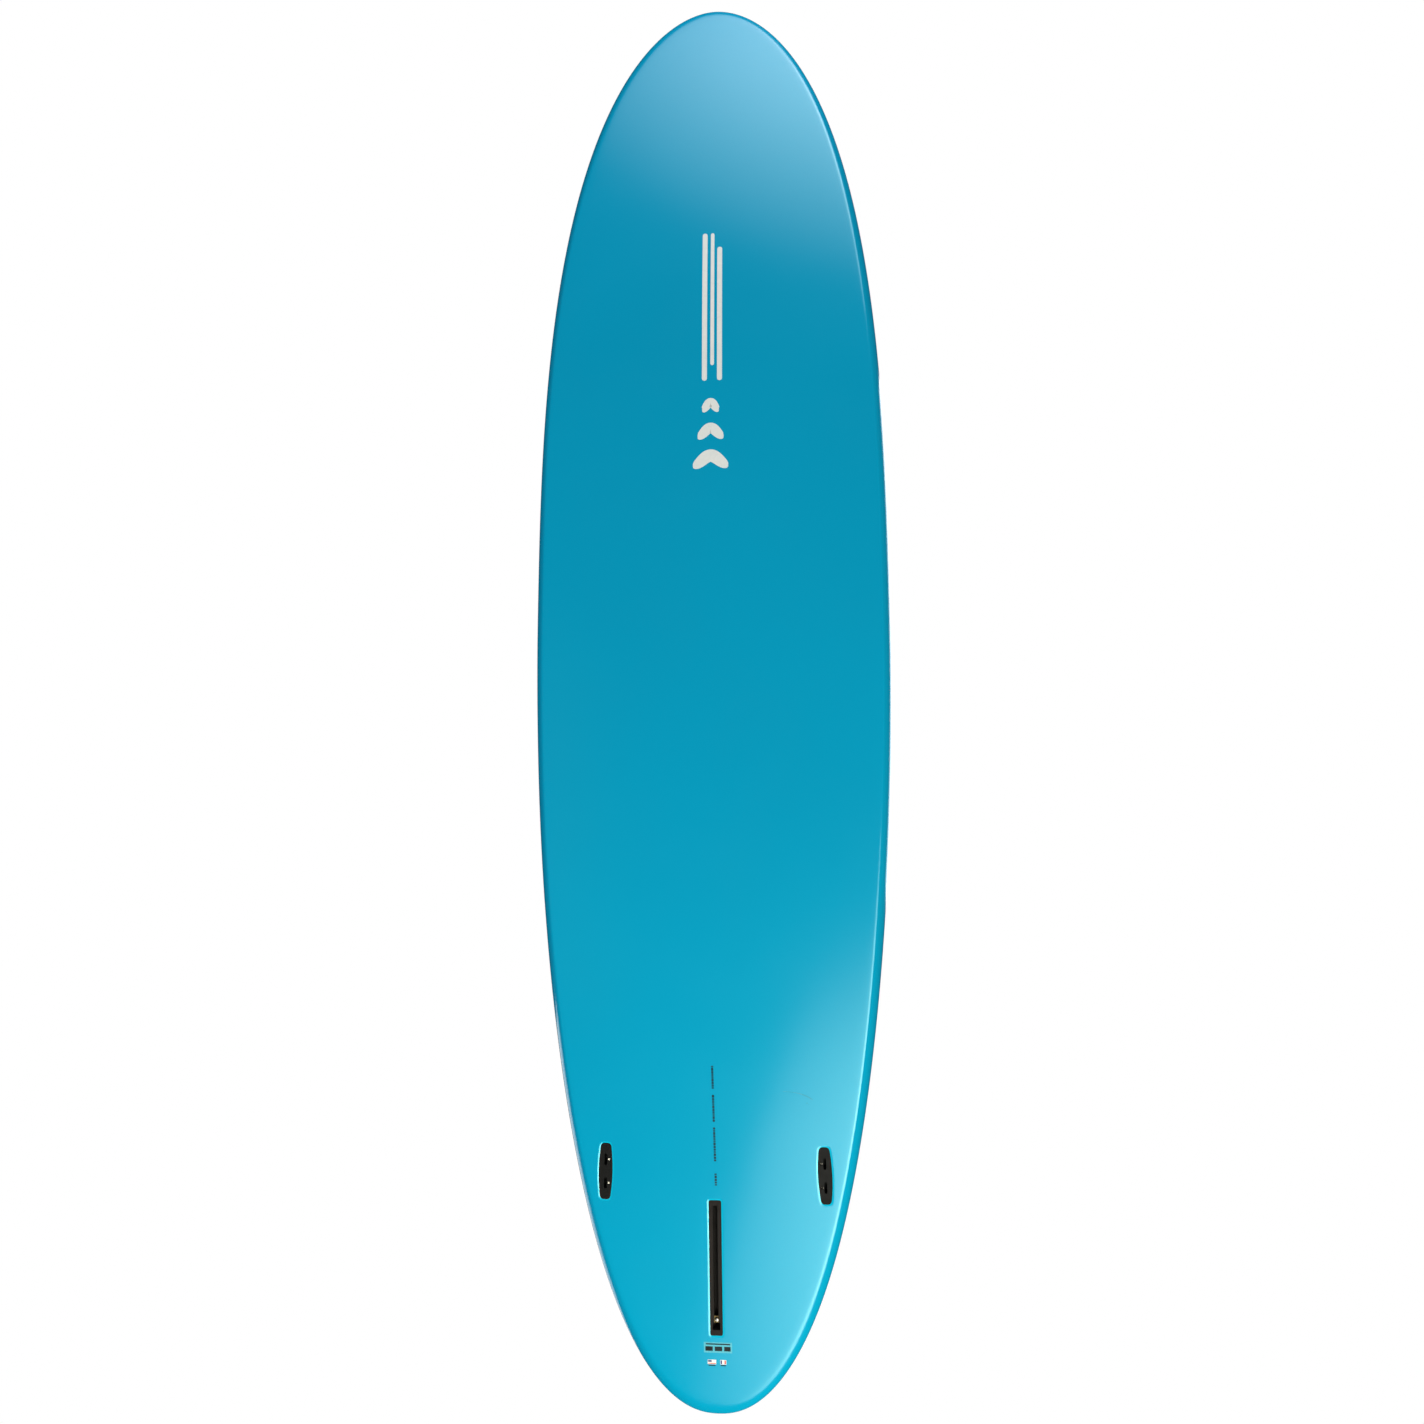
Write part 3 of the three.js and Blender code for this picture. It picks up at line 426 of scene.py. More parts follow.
# %% Plastic, brass, stainless and rubber
def moulded_plastic(name, shade, roughness, gloss):
    tree, shader = finish(name, IOR=1.5, Specular_IOR_Level=gloss)
    other = tuple(c * 0.8 for c in shade[:3]) + (1,)
    drift = use_group(tree, TINT_DRIFT, Shade=shade, Other_Shade=other, Scale=60.0)
    worn = use_group(tree, WORN_EDGES, Width=0.5 * MM, Amount=0.35)
    paler = tuple(c * 2.2 + 0.01 for c in shade[:3]) + (1,)
    colour = mix_colour(tree, worn.outputs["Mask"], drift.outputs["Color"], paler)
    tree.links.new(colour, shader.inputs["Base Color"])
    rough = rescale(tree, drift.outputs["Mask"], 0, 1, roughness - 0.05, roughness + 0.06)
    tree.links.new(rough, shader.inputs["Roughness"])
    tooth = use_group(tree, FINE_GRAIN, Scale=2400.0)
    bump(tree, shader, tooth.outputs["Height"], 0.03 * MM)


def metal(name, shade, tarnish, roughness, stretch):
    tree, shader = finish(name, Metallic=1.0)
    drift = use_group(tree, TINT_DRIFT, Shade=shade, Other_Shade=tarnish, Scale=180.0)
    worn = use_group(tree, WORN_EDGES, Width=0.3 * MM, Amount=0.5)
    bright = tuple(min(c * 1.2, 1) for c in shade[:3]) + (1,)
    colour = mix_colour(tree, worn.outputs["Mask"], drift.outputs["Color"], bright)
    tree.links.new(colour, shader.inputs["Base Color"])
    lines = use_group(tree, FINE_GRAIN, Scale=900.0, Stretch=stretch)
    rough = rescale(tree, lines.outputs["Height"], 0.3, 0.7, roughness - 0.06, roughness + 0.1)
    tree.links.new(rough, shader.inputs["Roughness"])
    bump(tree, shader, lines.outputs["Height"], 0.012 * MM)


def soft_rubber(name, shade, grain_scale, depth):
    tree, shader = finish(name, Specular_IOR_Level=0.35)
    dusty = tuple(c * 1.8 + 0.006 for c in shade[:3]) + (1,)
    drift = use_group(tree, TINT_DRIFT, Shade=shade, Other_Shade=dusty, Scale=35.0)
    tree.links.new(drift.outputs["Color"], shader.inputs["Base Color"])
    rough = rescale(tree, drift.outputs["Mask"], 0, 1, 0.72, 0.88)
    tree.links.new(rough, shader.inputs["Roughness"])
    grain = use_group(tree, FINE_GRAIN, Scale=grain_scale, Detail=5.0)
    bump(tree, shader, grain.outputs["Height"], depth)


moulded_plastic("fin box nylon", (0.016, 0.0135, 0.0135, 1), 0.50, 0.07)
moulded_plastic("plug nylon", (0.0085, 0.0085, 0.009, 1), 0.50, 0.07)
moulded_plastic("deck fitting plastic", (0.022, 0.023, 0.025, 1), 0.45, 0.40)
moulded_plastic("resin line", (0.016, 0.0015, 0.0015, 1), 0.45, 0.08)
metal("brass", (0.16, 0.115, 0.05, 1), (0.09, 0.066, 0.035, 1), 0.42, (1, 6, 6))
metal("stainless steel", (0.70, 0.68, 0.64, 1), (0.50, 0.48, 0.45, 1), 0.27, (8, 1, 8))
metal("dulled screw steel", (0.42, 0.40, 0.37, 1), (0.24, 0.22, 0.19, 1), 0.30, (8, 1, 8))
soft_rubber("neoprene", (0.018, 0.018, 0.020, 1), 1500.0, 0.25 * MM)
soft_rubber("seal rubber", (0.012, 0.012, 0.013, 1), 900.0, 0.05 * MM)

# %% [markdown]
# ### Grip foam, core foam and wood
# Grip pads are closed-cell EVA foam with a fine pebbled skin. The core is bead foam, whose beads show as
# small cells, and its stringer is a strip of straight-grained wood. The core is sealed in by the skins, but a
# part that is taken apart or cut open still needs its finish.

# %% Foams and wood
def grip_foam():
    tree, shader = finish("grip foam", Specular_IOR_Level=0.3)
    grey, light = (0.235, 0.255, 0.270, 1), (0.275, 0.295, 0.310, 1)
    drift = use_group(tree, TINT_DRIFT, Shade=grey, Other_Shade=light, Scale=9.0)
    flecks = add_node(tree, "ShaderNodeTexVoronoi", {"Scale": 700.0}, feature="F1")
    place = add_node(tree, "ShaderNodeTexCoord").outputs["Object"]
    tree.links.new(place, flecks.inputs["Vector"])
    cell = rescale(tree, flecks.outputs["Distance"], 0.1, 0.6)
    share = rescale(tree, cell, 0, 1, 0, 0.22)
    colour = mix_colour(tree, share, drift.outputs["Color"], (0.14, 0.15, 0.16, 1))
    tree.links.new(colour, shader.inputs["Base Color"])
    rough = rescale(tree, drift.outputs["Mask"], 0, 1, 0.82, 0.93)
    tree.links.new(rough, shader.inputs["Roughness"])
    bump(tree, shader, cell, 0.22 * MM)


def bead_foam(name, shade, gap, beads):
    tree, shader = finish(name, Specular_IOR_Level=0.3)
    place = add_node(tree, "ShaderNodeTexCoord").outputs["Object"]
    sockets = {"Vector": place, "Scale": beads}
    cells = add_node(tree, "ShaderNodeTexVoronoi", sockets, feature="DISTANCE_TO_EDGE")
    seam = rescale(tree, cells.outputs["Distance"], 0.0, 0.12)
    tree.links.new(mix_colour(tree, seam, gap, shade), shader.inputs["Base Color"])
    drift = use_group(tree, TINT_DRIFT, Scale=20.0)
    rough = rescale(tree, drift.outputs["Mask"], 0, 1, 0.78, 0.9)
    tree.links.new(rough, shader.inputs["Roughness"])
    bump(tree, shader, seam, 0.3 * MM)


def stringer_wood():
    tree, shader = finish("stringer wood", IOR=1.5)
    grain = use_group(tree, FINE_GRAIN, Scale=60.0, Stretch=(0.15, 6, 6), Detail=5.0)
    rings = rescale(tree, grain.outputs["Height"], 0.35, 0.65)
    colour = mix_colour(tree, rings, (0.50, 0.32, 0.16, 1), (0.66, 0.47, 0.27, 1))
    tree.links.new(colour, shader.inputs["Base Color"])
    tree.links.new(rescale(tree, rings, 0, 1, 0.68, 0.55), shader.inputs["Roughness"])
    bump(tree, shader, rings, 0.08 * MM)


grip_foam()
bead_foam("core foam", (0.88, 0.87, 0.83, 1), (0.72, 0.71, 0.67, 1), 280.0)
bead_foam("dense foam", (0.66, 0.53, 0.27, 1), (0.55, 0.43, 0.20, 1), 900.0)
bead_foam("vent membrane", (0.80, 0.80, 0.78, 1), (0.66, 0.66, 0.64, 1), 1800.0)
stringer_wood()

# %% [markdown]
# ### Inks
# Graphics are printed films under the last coat of varnish: flat colour with a little wear and the same
# satin gloss as the paint beside them.

# %% Printed films
def ink(name, shade, rubbed, amount=0.3, gloss=0.5):
    tree, shader = finish(name, IOR=1.5, Specular_IOR_Level=gloss)
    marks = use_group(tree, RUBS, Scale=40.0, Amount=amount)
    drift = use_group(tree, TINT_DRIFT, Shade=shade, Other_Shade=rubbed, Scale=30.0)
    half = rescale(tree, drift.outputs["Mask"], 0, 1, 0, 0.35)
    colour = mix_colour(tree, half, shade, drift.outputs["Color"])
    colour = mix_colour(tree, marks.outputs["Scratches"], colour, rubbed)
    tree.links.new(colour, shader.inputs["Base Color"])
    rough = rescale(tree, marks.outputs["Smears"], 0, 1, 0.27, 0.36)
    tree.links.new(rough, shader.inputs["Roughness"])
    grain = use_group(tree, FINE_GRAIN, Scale=500.0)
    bump(tree, shader, grain.outputs["Height"], 0.01 * MM)


ink("white ink", (0.86, 0.87, 0.86, 1), (0.70, 0.78, 0.80, 1))
ink("black ink", (0.008, 0.010, 0.012, 1), (0.02, 0.06, 0.08, 1), 0.6, 0.12)
ink("label film", (0.06, 0.42, 0.56, 1), (0.03, 0.38, 0.54, 1))
ink("red ink", (0.62, 0.10, 0.09, 1), (0.55, 0.20, 0.18, 1))
ink("blue ink", (0.035, 0.055, 0.20, 1), (0.05, 0.12, 0.26, 1))
ink("rubbed paint", (0.0, 0.265, 0.42, 1), (0.0, 0.30, 0.47, 1))
print("finishes:", len(FINISHES))

# %% [markdown]
# ## Floor
# A pale seamless sheet. It shows on its upper face only, and lets every light through, so a look from below
# sees the board's bottom as it would hang in the studio.

# %% Floor
def pale_floor():
    tree, shader = finish("floor paper", Roughness=0.9, Specular_IOR_Level=0.2)
    shader.inputs["Emission Color"].default_value = (1, 1, 0.99, 1)
    shader.inputs["Emission Strength"].default_value = 0.2
    paper, other = (0.82, 0.82, 0.81, 1), (0.80, 0.80, 0.79, 1)
    drift = use_group(tree, TINT_DRIFT, Shade=paper, Other_Shade=other, Scale=0.6)
    tree.links.new(drift.outputs["Color"], shader.inputs["Base Color"])
    eye = add_node(tree, "ShaderNodeLightPath").outputs["Is Camera Ray"]
    back = add_node(tree, "ShaderNodeNewGeometry").outputs["Backfacing"]
    shown = add_node(tree, "ShaderNodeMath", {0: eye, 1: back}, operation="SUBTRACT", use_clamp=True)
    clear = add_node(tree, "ShaderNodeBsdfTransparent")
    sockets = {0: shown.outputs[0], 1: clear.outputs[0], 2: shader.outputs[0]}
    both = add_node(tree, "ShaderNodeMixShader", sockets)
    tree.links.new(both.outputs[0], tree.nodes["Material Output"].inputs[0])


pale_floor()
FLOOR_HALF = 60
FLOOR_HEIGHT = CAD_LOW.z - 0.5 * MM
signs = [(-1, -1), (1, -1), (1, 1), (-1, 1)]
corners = [(x * FLOOR_HALF, y * FLOOR_HALF, FLOOR_HEIGHT) for x, y in signs]
floor_mesh = bpy.data.meshes.new("floor")
floor_mesh.from_pydata(corners, [], [(0, 1, 2, 3)])
floor_mesh.materials.append(FINISHES["floor paper"])
floor = bpy.data.objects.new("floor", floor_mesh)
bpy.context.scene.collection.objects.link(floor)
print("floor:", 2 * FLOOR_HALF, "m wide")

# %% [markdown]
# ## Workshop tools
# Every piece is a mesh made in code. `new_piece` turns points and faces into an object, and `dress` gives it
# its finish and the body that it rides on, and hides the CAD nodes that it stands in for. Small
# fittings get rounded edges from a bevel, as every moulded or machined edge has.

# %% Making and dressing pieces
def new_piece(name, points, faces):
    mesh = bpy.data.meshes.new(name)
    mesh.from_pydata(np.asarray(points, float).tolist(), [], [list(map(int, f)) for f in faces])
    mesh.update()
    piece = bpy.data.objects.new(name, mesh)
    bpy.context.scene.collection.objects.link(piece)
    return piece


def dress(piece, look, body, nodes=(), edge=0.0):
    """Gives a piece its finish and its place in the model. Edge is the radius of its rounded edges."""
    piece.data.materials.clear()
    piece.data.materials.append(FINISHES[look])
    piece.data.polygons.foreach_set("use_smooth", [True] * len(piece.data.polygons))
    if edge:
        bevel = piece.modifiers.new("rounded edges", "BEVEL")
        bevel.width, bevel.segments = edge, 3
        bevel.limit_method, bevel.angle_limit = "ANGLE", math.radians(35)
        bevel.use_clamp_overlap = True
        piece.modifiers.new("flat faces stay flat", "WEIGHTED_NORMAL")
    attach(piece, body)
    if nodes:
        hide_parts(*nodes)
    return piece


def loft(rings, cap_first=True, cap_last=True):
    """Points and faces of a skin over a row of loops with the same number of points."""
    rings = [np.asarray(r, float) for r in rings]
    count = len(rings[0])
    faces = []
    for i in range(len(rings) - 1):
        for j in range(count):
            k = (j + 1) % count
            faces.append([i * count + j, i * count + k, (i + 1) * count + k, (i + 1) * count + j])
    if cap_first:
        faces.append(list(range(count))[::-1])
    if cap_last:
        faces.append([(len(rings) - 1) * count + j for j in range(count)])
    return np.vstack(rings), faces


def ring(outline, height):
    """A flat loop at a height, from an outline of (x, y) points."""
    outline = np.asarray(outline, float)
    return np.column_stack([outline, np.full(len(outline), height)])


def placed(points, place):
    """Points moved by a matrix."""
    matrix = np.array(place)
    return np.asarray(points) @ matrix[:3, :3].T + matrix[:3, 3]


def solid(name, rings, place=Matrix.Identity(4)):
    """A closed lofted piece. Its loops run anticlockwise, from the lowest up."""
    points, faces = loft(rings)
    return new_piece(name, placed(points, place), faces)


def carve(piece, cutters):
    """Takes each cutter out of a piece and throws the cutters away."""
    for cutter in cutters:
        cut = piece.modifiers.new("cut", "BOOLEAN")
        cut.object, cut.operation, cut.solver = cutter, "DIFFERENCE", "EXACT"
        graph = bpy.context.evaluated_depsgraph_get()
        result = bpy.data.meshes.new_from_object(piece.evaluated_get(graph))
        piece.modifiers.remove(cut)
        piece.data = result
        bpy.data.objects.remove(cutter)
    return piece


# %% [markdown]
# ## Outlines
# Most fittings are an outline that grows or shrinks with depth, so each outline is a function of how much it
# has grown all round. They run anticlockwise.

# %% Outlines of the fittings
def circle(radius, sides=48):
    angles = np.linspace(0, 2 * math.pi, sides, endpoint=False)
    return np.column_stack([radius * np.cos(angles), radius * np.sin(angles)])


def rounded_rectangle(length, width, corner, steps=6):
    points = []
    for quarter, (sx, sy) in enumerate(((1, 1), (-1, 1), (-1, -1), (1, -1))):
        centre = np.array([sx * (length / 2 - corner), sy * (width / 2 - corner)])
        for k in range(steps + 1):
            angle = (quarter + k / steps) * math.pi / 2
            points.append(centre + corner * np.array([math.cos(angle), math.sin(angle)]))
    return np.array(points)


def quadratic(start, control, end, steps):
    """Points of a quadratic curve, without its first one."""
    t = np.linspace(0, 1, steps + 1)[1:, None]
    start, control, end = (np.array(p, float) for p in (start, control, end))
    return (1 - t) ** 2 * start + 2 * t * (1 - t) * control + t**2 * end


PLUG = {"length": 114 * MM, "width": 28 * MM, "depth": 19 * MM, "end_width": 22.4 * MM, "end_round": 11 * MM}
PLUG_END_FLAT = 0.22
PLUG_END_SOFT = 0.4 * MM


def plug_outline(grow):
    """The side plug: bowed sides and soft ends, which are flat over a share of their width."""
    end = PLUG["length"] / 2 + grow
    end_half = PLUG["end_width"] / 2 + grow
    bow = PLUG["width"] + 2 * grow - end_half
    shoulder = end - PLUG["end_round"]
    tip = PLUG_END_FLAT * end_half
    soft = end_half - PLUG_END_SOFT
    corner = quadratic((end, tip), (end, soft), (shoulder, end_half), 8)
    side = quadratic((shoulder, end_half), (0, bow), (-shoulder, end_half), 18)
    last = quadratic((-shoulder, end_half), (-end, soft), (-end, tip), 8)
    half = np.vstack([[(end, tip)], corner, side, last])
    return np.vstack([half, -half])


print("outlines: circle, rounded rectangle, plug with", len(plug_outline(0)), "points")

# %% [markdown]
# ## Where the fittings sit
# The CAD boxes give the places. A fitting on the tail's straight run leans with it, so its place on the
# surface is found by going back from the middle of its box along the surface's normal.

# %% Frames of the fittings
FITTING_GAP = 0.3 * MM


def box_middle(node):
    low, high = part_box(node)
    return (low + high) / 2


def bottom_frame(node, toe_in=0.0):
    """A frame on the bottom under a node: X forward along the surface, Z into the board."""
    middle = box_middle(node)
    out = (middle.z - float(bottom_height(middle.x))) * math.cos(TAIL_TILT)
    x = middle.x - out * math.sin(TAIL_TILT)
    place = Matrix.Translation((x, middle.y, float(bottom_height(x))))
    return place @ Matrix.Rotation(TAIL_TILT, 4, "Y") @ Matrix.Rotation(toe_in, 4, "Z")


def deck_frame(node):
    """A frame on the deck's centreline at a node: X forward along the surface, Z out of the board. A node
    that leans has a box whose middle is a hair off, so its place is taken to the nearest millimetre."""
    x = round(box_middle(node).x, 3)
    step = 20 * MM
    slope = float(deck_height(x + step, 0) - deck_height(x - step, 0)) / (2 * step)
    place = Matrix.Translation((x, 0, float(deck_height(x, 0)) + FITTING_GAP))
    return place @ Matrix.Rotation(-math.atan(slope), 4, "Y")


FIN_BOX = {"length": 272 * MM, "width": 25 * MM, "depth": 25 * MM, "corner": 3.5 * MM}
HANDLE = {"length": 150 * MM, "width": 84 * MM, "corner": 20 * MM, "rim": 11 * MM}
LEASH = {"radius": 14.5 * MM, "rim": 19 * MM, "wall": 2 * MM}
VENT = {"radius": 11 * MM, "rim": 15 * MM, "wall": 2.5 * MM}
TOE_IN = math.radians(2)

BOX_FRAME = bottom_frame("centre_fin_box")
PLUG_FRAMES = {
    "port": bottom_frame("port_side_fin_plug", -TOE_IN),
    "starboard": bottom_frame("starboard_side_fin_plug", TOE_IN),
}
HANDLE_FRAME = deck_frame("handle_cup")
LEASH_FRAME = deck_frame("leash_cup")
VENT_FRAME = deck_frame("vent_housing")


def grown(size, grow, steps=6):
    """The outline of a fitting with rounded corners, grown all round."""
    length, width = size["length"] + 2 * grow, size["width"] + 2 * grow
    return rounded_rectangle(length, width, size["corner"] + grow, steps)


def box_outline(grow):
    return grown(FIN_BOX, grow)


def handle_outline(grow):
    return grown(HANDLE, grow, 10)


for name, place in (("fin box", BOX_FRAME), ("port plug", PLUG_FRAMES["port"]), ("handle", HANDLE_FRAME)):
    print(name, [round(c, 4) for c in place.translation])

# %% [markdown]
# ## Sheets of the hull
# Each skin starts as a sheet of points in rows: out at the rail's widest line, over the rail, and in to the
# centreline. Rows crowd together where the surface bends, round the rail and over the tucked edge, because
# that is where a reflection shows every facet. The tucked edge is softened over about a millimetre, so it
# catches one thin line of light, as a sanded edge does.

# %% The grid of one side of the hull
STATIONS = 260
TUCK = 21 * MM
SHOULDER = 48 * MM
EDGE_HARDNESS = 0.3
EDGE_SOFTNESS = 1.3 * MM
SKIN = 2.4 * MM


def plan_edge(count):
    """Points of the outline on the port side from tail to nose, and their inward directions."""
    def at(angles):
        x = LENGTH / 2 * np.sin(angles)
        return np.column_stack([x, half_width(x) * np.sign(np.cos(angles))])

    angles = np.linspace(-math.pi / 2, math.pi / 2, count + 1)
    edge = at(angles)
    edge[0, 1] = edge[-1, 1] = 0
    along = at(angles + 0.004) - at(angles - 0.004)
    along /= np.linalg.norm(along, axis=1)[:, None]
    inward = np.column_stack([along[:, 1], -along[:, 0]])
    inward[0], inward[-1] = (1, 0), (-1, 0)
    return edge, inward


EDGE, INWARD = plan_edge(STATIONS)


def quarter_round(u):
    """Falls from 1 to 0 along a quarter of a circle as u goes from 0 to 1."""
    return 1 - np.sqrt(np.maximum(0, 1 - (1 - np.minimum(u, 1)) ** 2))


def apex_height(x):
    return bottom_height(x) + APEX_SHARE * thickness(x)


def bottom_surface(x, y, u):
    """Height of the bottom. Over the rail, u runs from 0 at the widest line to 1 at the tucked edge."""
    rise = apex_height(x) - bottom_height(x)
    edge = rise * ((1 - EDGE_HARDNESS) * quarter_round(u) + EDGE_HARDNESS * (1 - u))
    return bottom_height(x) + 0.5 * (edge + np.sqrt(edge**2 + EDGE_SOFTNESS**2))


def deck_surface(x, y, u):
    """Height of the deck. Over the rail, u runs from 0 at the widest line to 1 at the shoulder."""
    top = deck_height(x, y)
    return top - (top - apex_height(x)) * quarter_round(u) + FITTING_GAP * np.minimum(u, 1)


ARC = 1 - np.cos(np.linspace(0, math.pi / 2, 15))
BOTTOM = {
    "height": bottom_surface,
    "reach": TUCK,
    "rail": np.concatenate([ARC[:11], np.arange(0.66, 1.3, 0.045), [1.4, 1.55, 1.75, 2.0]]),
    "far": 2.0,
    "facing": -1,
}
DECK = {
    "height": deck_surface,
    "reach": SHOULDER,
    "rail": np.concatenate([ARC, [1.12, 1.25]]),
    "far": 1.25,
    "facing": 1,
}


def hull_sheet(surface, panel_rows=22):
    """Points and faces of the whole bottom or deck, with no openings in it yet."""
    reach = surface["rail"] * surface["reach"]
    x = EDGE[:, :1] + INWARD[:, :1] * reach
    y = np.maximum(EDGE[:, 1:] + INWARD[:, 1:] * reach, 0)
    t = np.linspace(0, 1, panel_rows + 1)[1:]
    x = np.hstack([x, np.repeat(x[:, -1:], panel_rows, axis=1)])
    y = np.hstack([y, y[:, -1:] * (1 - t)])
    u = np.concatenate([surface["rail"], np.full(panel_rows, surface["far"])])
    z = surface["height"](x, y, np.broadcast_to(u, x.shape))
    points, faces = [], []
    rows = x.shape[1]
    for side in (1, -1):
        start = len(points) * x.size
        points.append(np.column_stack([x.ravel(), side * y.ravel(), z.ravel()]))
        for i in range(len(x) - 1):
            for j in range(rows - 1):
                a = start + i * rows + j
                quad = [a, a + rows, a + rows + 1, a + 1]
                faces.append(quad if side * surface["facing"] < 0 else quad[::-1])
    return weld(np.vstack(points), faces)


def weld(points, faces):
    """Joins points that lie on each other and drops what is left of flattened faces."""
    spots = np.round(points * 1e6).astype(int)
    _, first, same = np.unique(spots, axis=0, return_index=True, return_inverse=True)
    same = same.ravel()
    kept = []
    for face in faces:
        loop = [int(same[i]) for i in face]
        loop = [a for k, a in enumerate(loop) if a != loop[k - 1]]
        if len(loop) > 2:
            kept.append(loop)
    return points[first], kept


bottom_sheet = hull_sheet(BOTTOM)
deck_sheet = hull_sheet(DECK)
print("bottom sheet:", len(bottom_sheet[1]), "faces; deck sheet:", len(deck_sheet[1]), "faces")

# %% [markdown]
# ## Openings in the sheets
# A builder routs each opening and then sands the paint over its edge. A boolean cut would leave long thin
# faces that spoil a glossy surface, so here a patch of the sheet is taken out and filled again by a
# triangulation that keeps the opening's loops. On the bottom the last four millimetres sink a little towards
# the opening, and that small round catches the light beside each fin box. The paint there is also a lighter
# cyan, a painted highlight.

# %% Cutting an opening with a triangulated patch
def within(loop, points):
    """Which points lie inside a loop, by counting crossings."""
    loop, points = np.asarray(loop), np.asarray(points)
    a, b = loop, np.roll(loop, -1, axis=0)
    x, y = points[:, :1], points[:, 1:2]
    spans = (a[:, 1] > y) != (b[:, 1] > y)
    with np.errstate(divide="ignore", invalid="ignore"):
        cross = a[:, 0] + (y - a[:, 1]) / (b[:, 1] - a[:, 1]) * (b[:, 0] - a[:, 0])
    return (np.sum(spans & (x < cross), axis=1) % 2) == 1


def open_hole(sheet, loops, keep_out, facing, margin=9 * MM):
    """Cuts a hole in a sheet. Loops are 3-D, from the hole's edge outwards; keep_out is just beyond them."""
    points, faces = sheet
    low, high = keep_out.min(0) - margin, keep_out.max(0) + margin
    near = np.all((points[:, :2] > low) & (points[:, :2] < high), axis=1)
    taken = [f for f in faces if near[f].any()]
    kept = [f for f in faces if not near[f].any()]
    sides = {(a, b) for f in taken for a, b in zip(f, f[1:] + f[:1])}
    border = [(a, b) for a, b in sides if (b, a) not in sides]
    on_border = {i for pair in border for i in pair}
    inner = np.array(sorted({i for f in taken for i in f} - on_border))
    inner = inner[~within(keep_out, points[inner, :2])]
    used = sorted(on_border) + inner.tolist()
    numbers = {i: k for k, i in enumerate(used)}
    flat = points[used, :2].tolist()
    lines = [(numbers[a], numbers[b]) for a, b in border]
    for loop in loops:
        start = len(flat)
        flat += loop[:, :2].tolist()
        lines += [(start + k, start + (k + 1) % len(loop)) for k in range(len(loop))]
    found = delaunay_2d_cdt([Vector(p) for p in flat], lines, [], 1, 1e-7)
    spots = np.array([tuple(p) for p in found[0]])
    source = [came[0] for came in found[3]]
    ids = used + list(range(len(points), len(points) + sum(len(l) for l in loops)))
    centres = np.array([spots[list(f)].mean(0) for f in found[2]])
    for face, inside in zip(found[2], within(loops[0][:, :2], centres)):
        if inside:
            continue
        corner = [ids[source[i]] for i in face]
        a, b, c = (spots[i] for i in face[:3])
        turn = (b[0] - a[0]) * (c[1] - a[1]) - (b[1] - a[1]) * (c[0] - a[0])
        kept.append(corner if turn * facing > 0 else corner[::-1])
    return np.vstack([points] + list(loops)), kept


def hole_loops(outline, place, surface, grows, sinks):
    """The loops round an opening, each grown from the outline and sunk into the board."""
    loops = []
    for grow, sink in zip(grows, sinks):
        plan = placed(ring(outline(grow), 0), place)[:, :2]
        z = surface["height"](plan[:, 0], plan[:, 1], np.full(len(plan), surface["far"]))
        loops.append(np.column_stack([plan, z - surface["facing"] * sink]))
    return loops, placed(ring(outline(grows[-1] + 2 * MM), 0), place)[:, :2]


SINK_DEPTH = 0.85 * MM
SINK_WIDTH = 4.2 * MM
steps = np.linspace(0, 1, 8)
SINK_GROWS = FITTING_GAP + SINK_WIDTH * steps
SINKS = SINK_DEPTH * (1 - steps) ** 2.2

bottom_holes = [(box_outline, BOX_FRAME)] + [(plug_outline, place) for place in PLUG_FRAMES.values()]
for outline, place in bottom_holes:
    loops, keep_out = hole_loops(outline, place, BOTTOM, SINK_GROWS, SINKS)
    bottom_sheet = open_hole(bottom_sheet, loops, keep_out, BOTTOM["facing"])

deck_holes = [
    (handle_outline, HANDLE_FRAME),
    (lambda grow: circle(LEASH["radius"] + grow), LEASH_FRAME),
    (lambda grow: circle(VENT["radius"] + grow), VENT_FRAME),
]
for outline, place in deck_holes:
    loops, keep_out = hole_loops(outline, place, DECK, [0.4 * MM, 3 * MM], [0, 0])
    deck_sheet = open_hole(deck_sheet, loops, keep_out, DECK["facing"])
print("openings cut:", len(bottom_holes), "in the bottom and", len(deck_holes), "in the deck")

# %% [markdown]
# ## From sheet to laminate
# A skin is fibreglass about two and a half millimetres thick. `shell` gives a sheet that thickness and closes
# it round every edge. The shading normals are averaged on the sheet before it has sides, so the gloss runs
# smoothly up to the edge of each opening.

# %% The two skins
def sheet_normals(points, faces):
    """Smooth unit normals of a sheet, weighted by the size of its faces."""
    total = np.zeros_like(points)
    for face in faces:
        ids = np.array(face)
        corner = points[ids]
        for k in range(1, len(ids) - 1):
            total[ids] += np.cross(corner[k] - corner[0], corner[k + 1] - corner[0])
    length = np.linalg.norm(total, axis=1)[:, None]
    return total / np.maximum(length, 1e-12)


def compact(points, faces):
    """Drops points that no face uses."""
    used = np.unique(np.concatenate([np.array(f) for f in faces]))
    numbers = {int(i): k for k, i in enumerate(used)}
    return points[used], [[numbers[int(i)] for i in f] for f in faces]


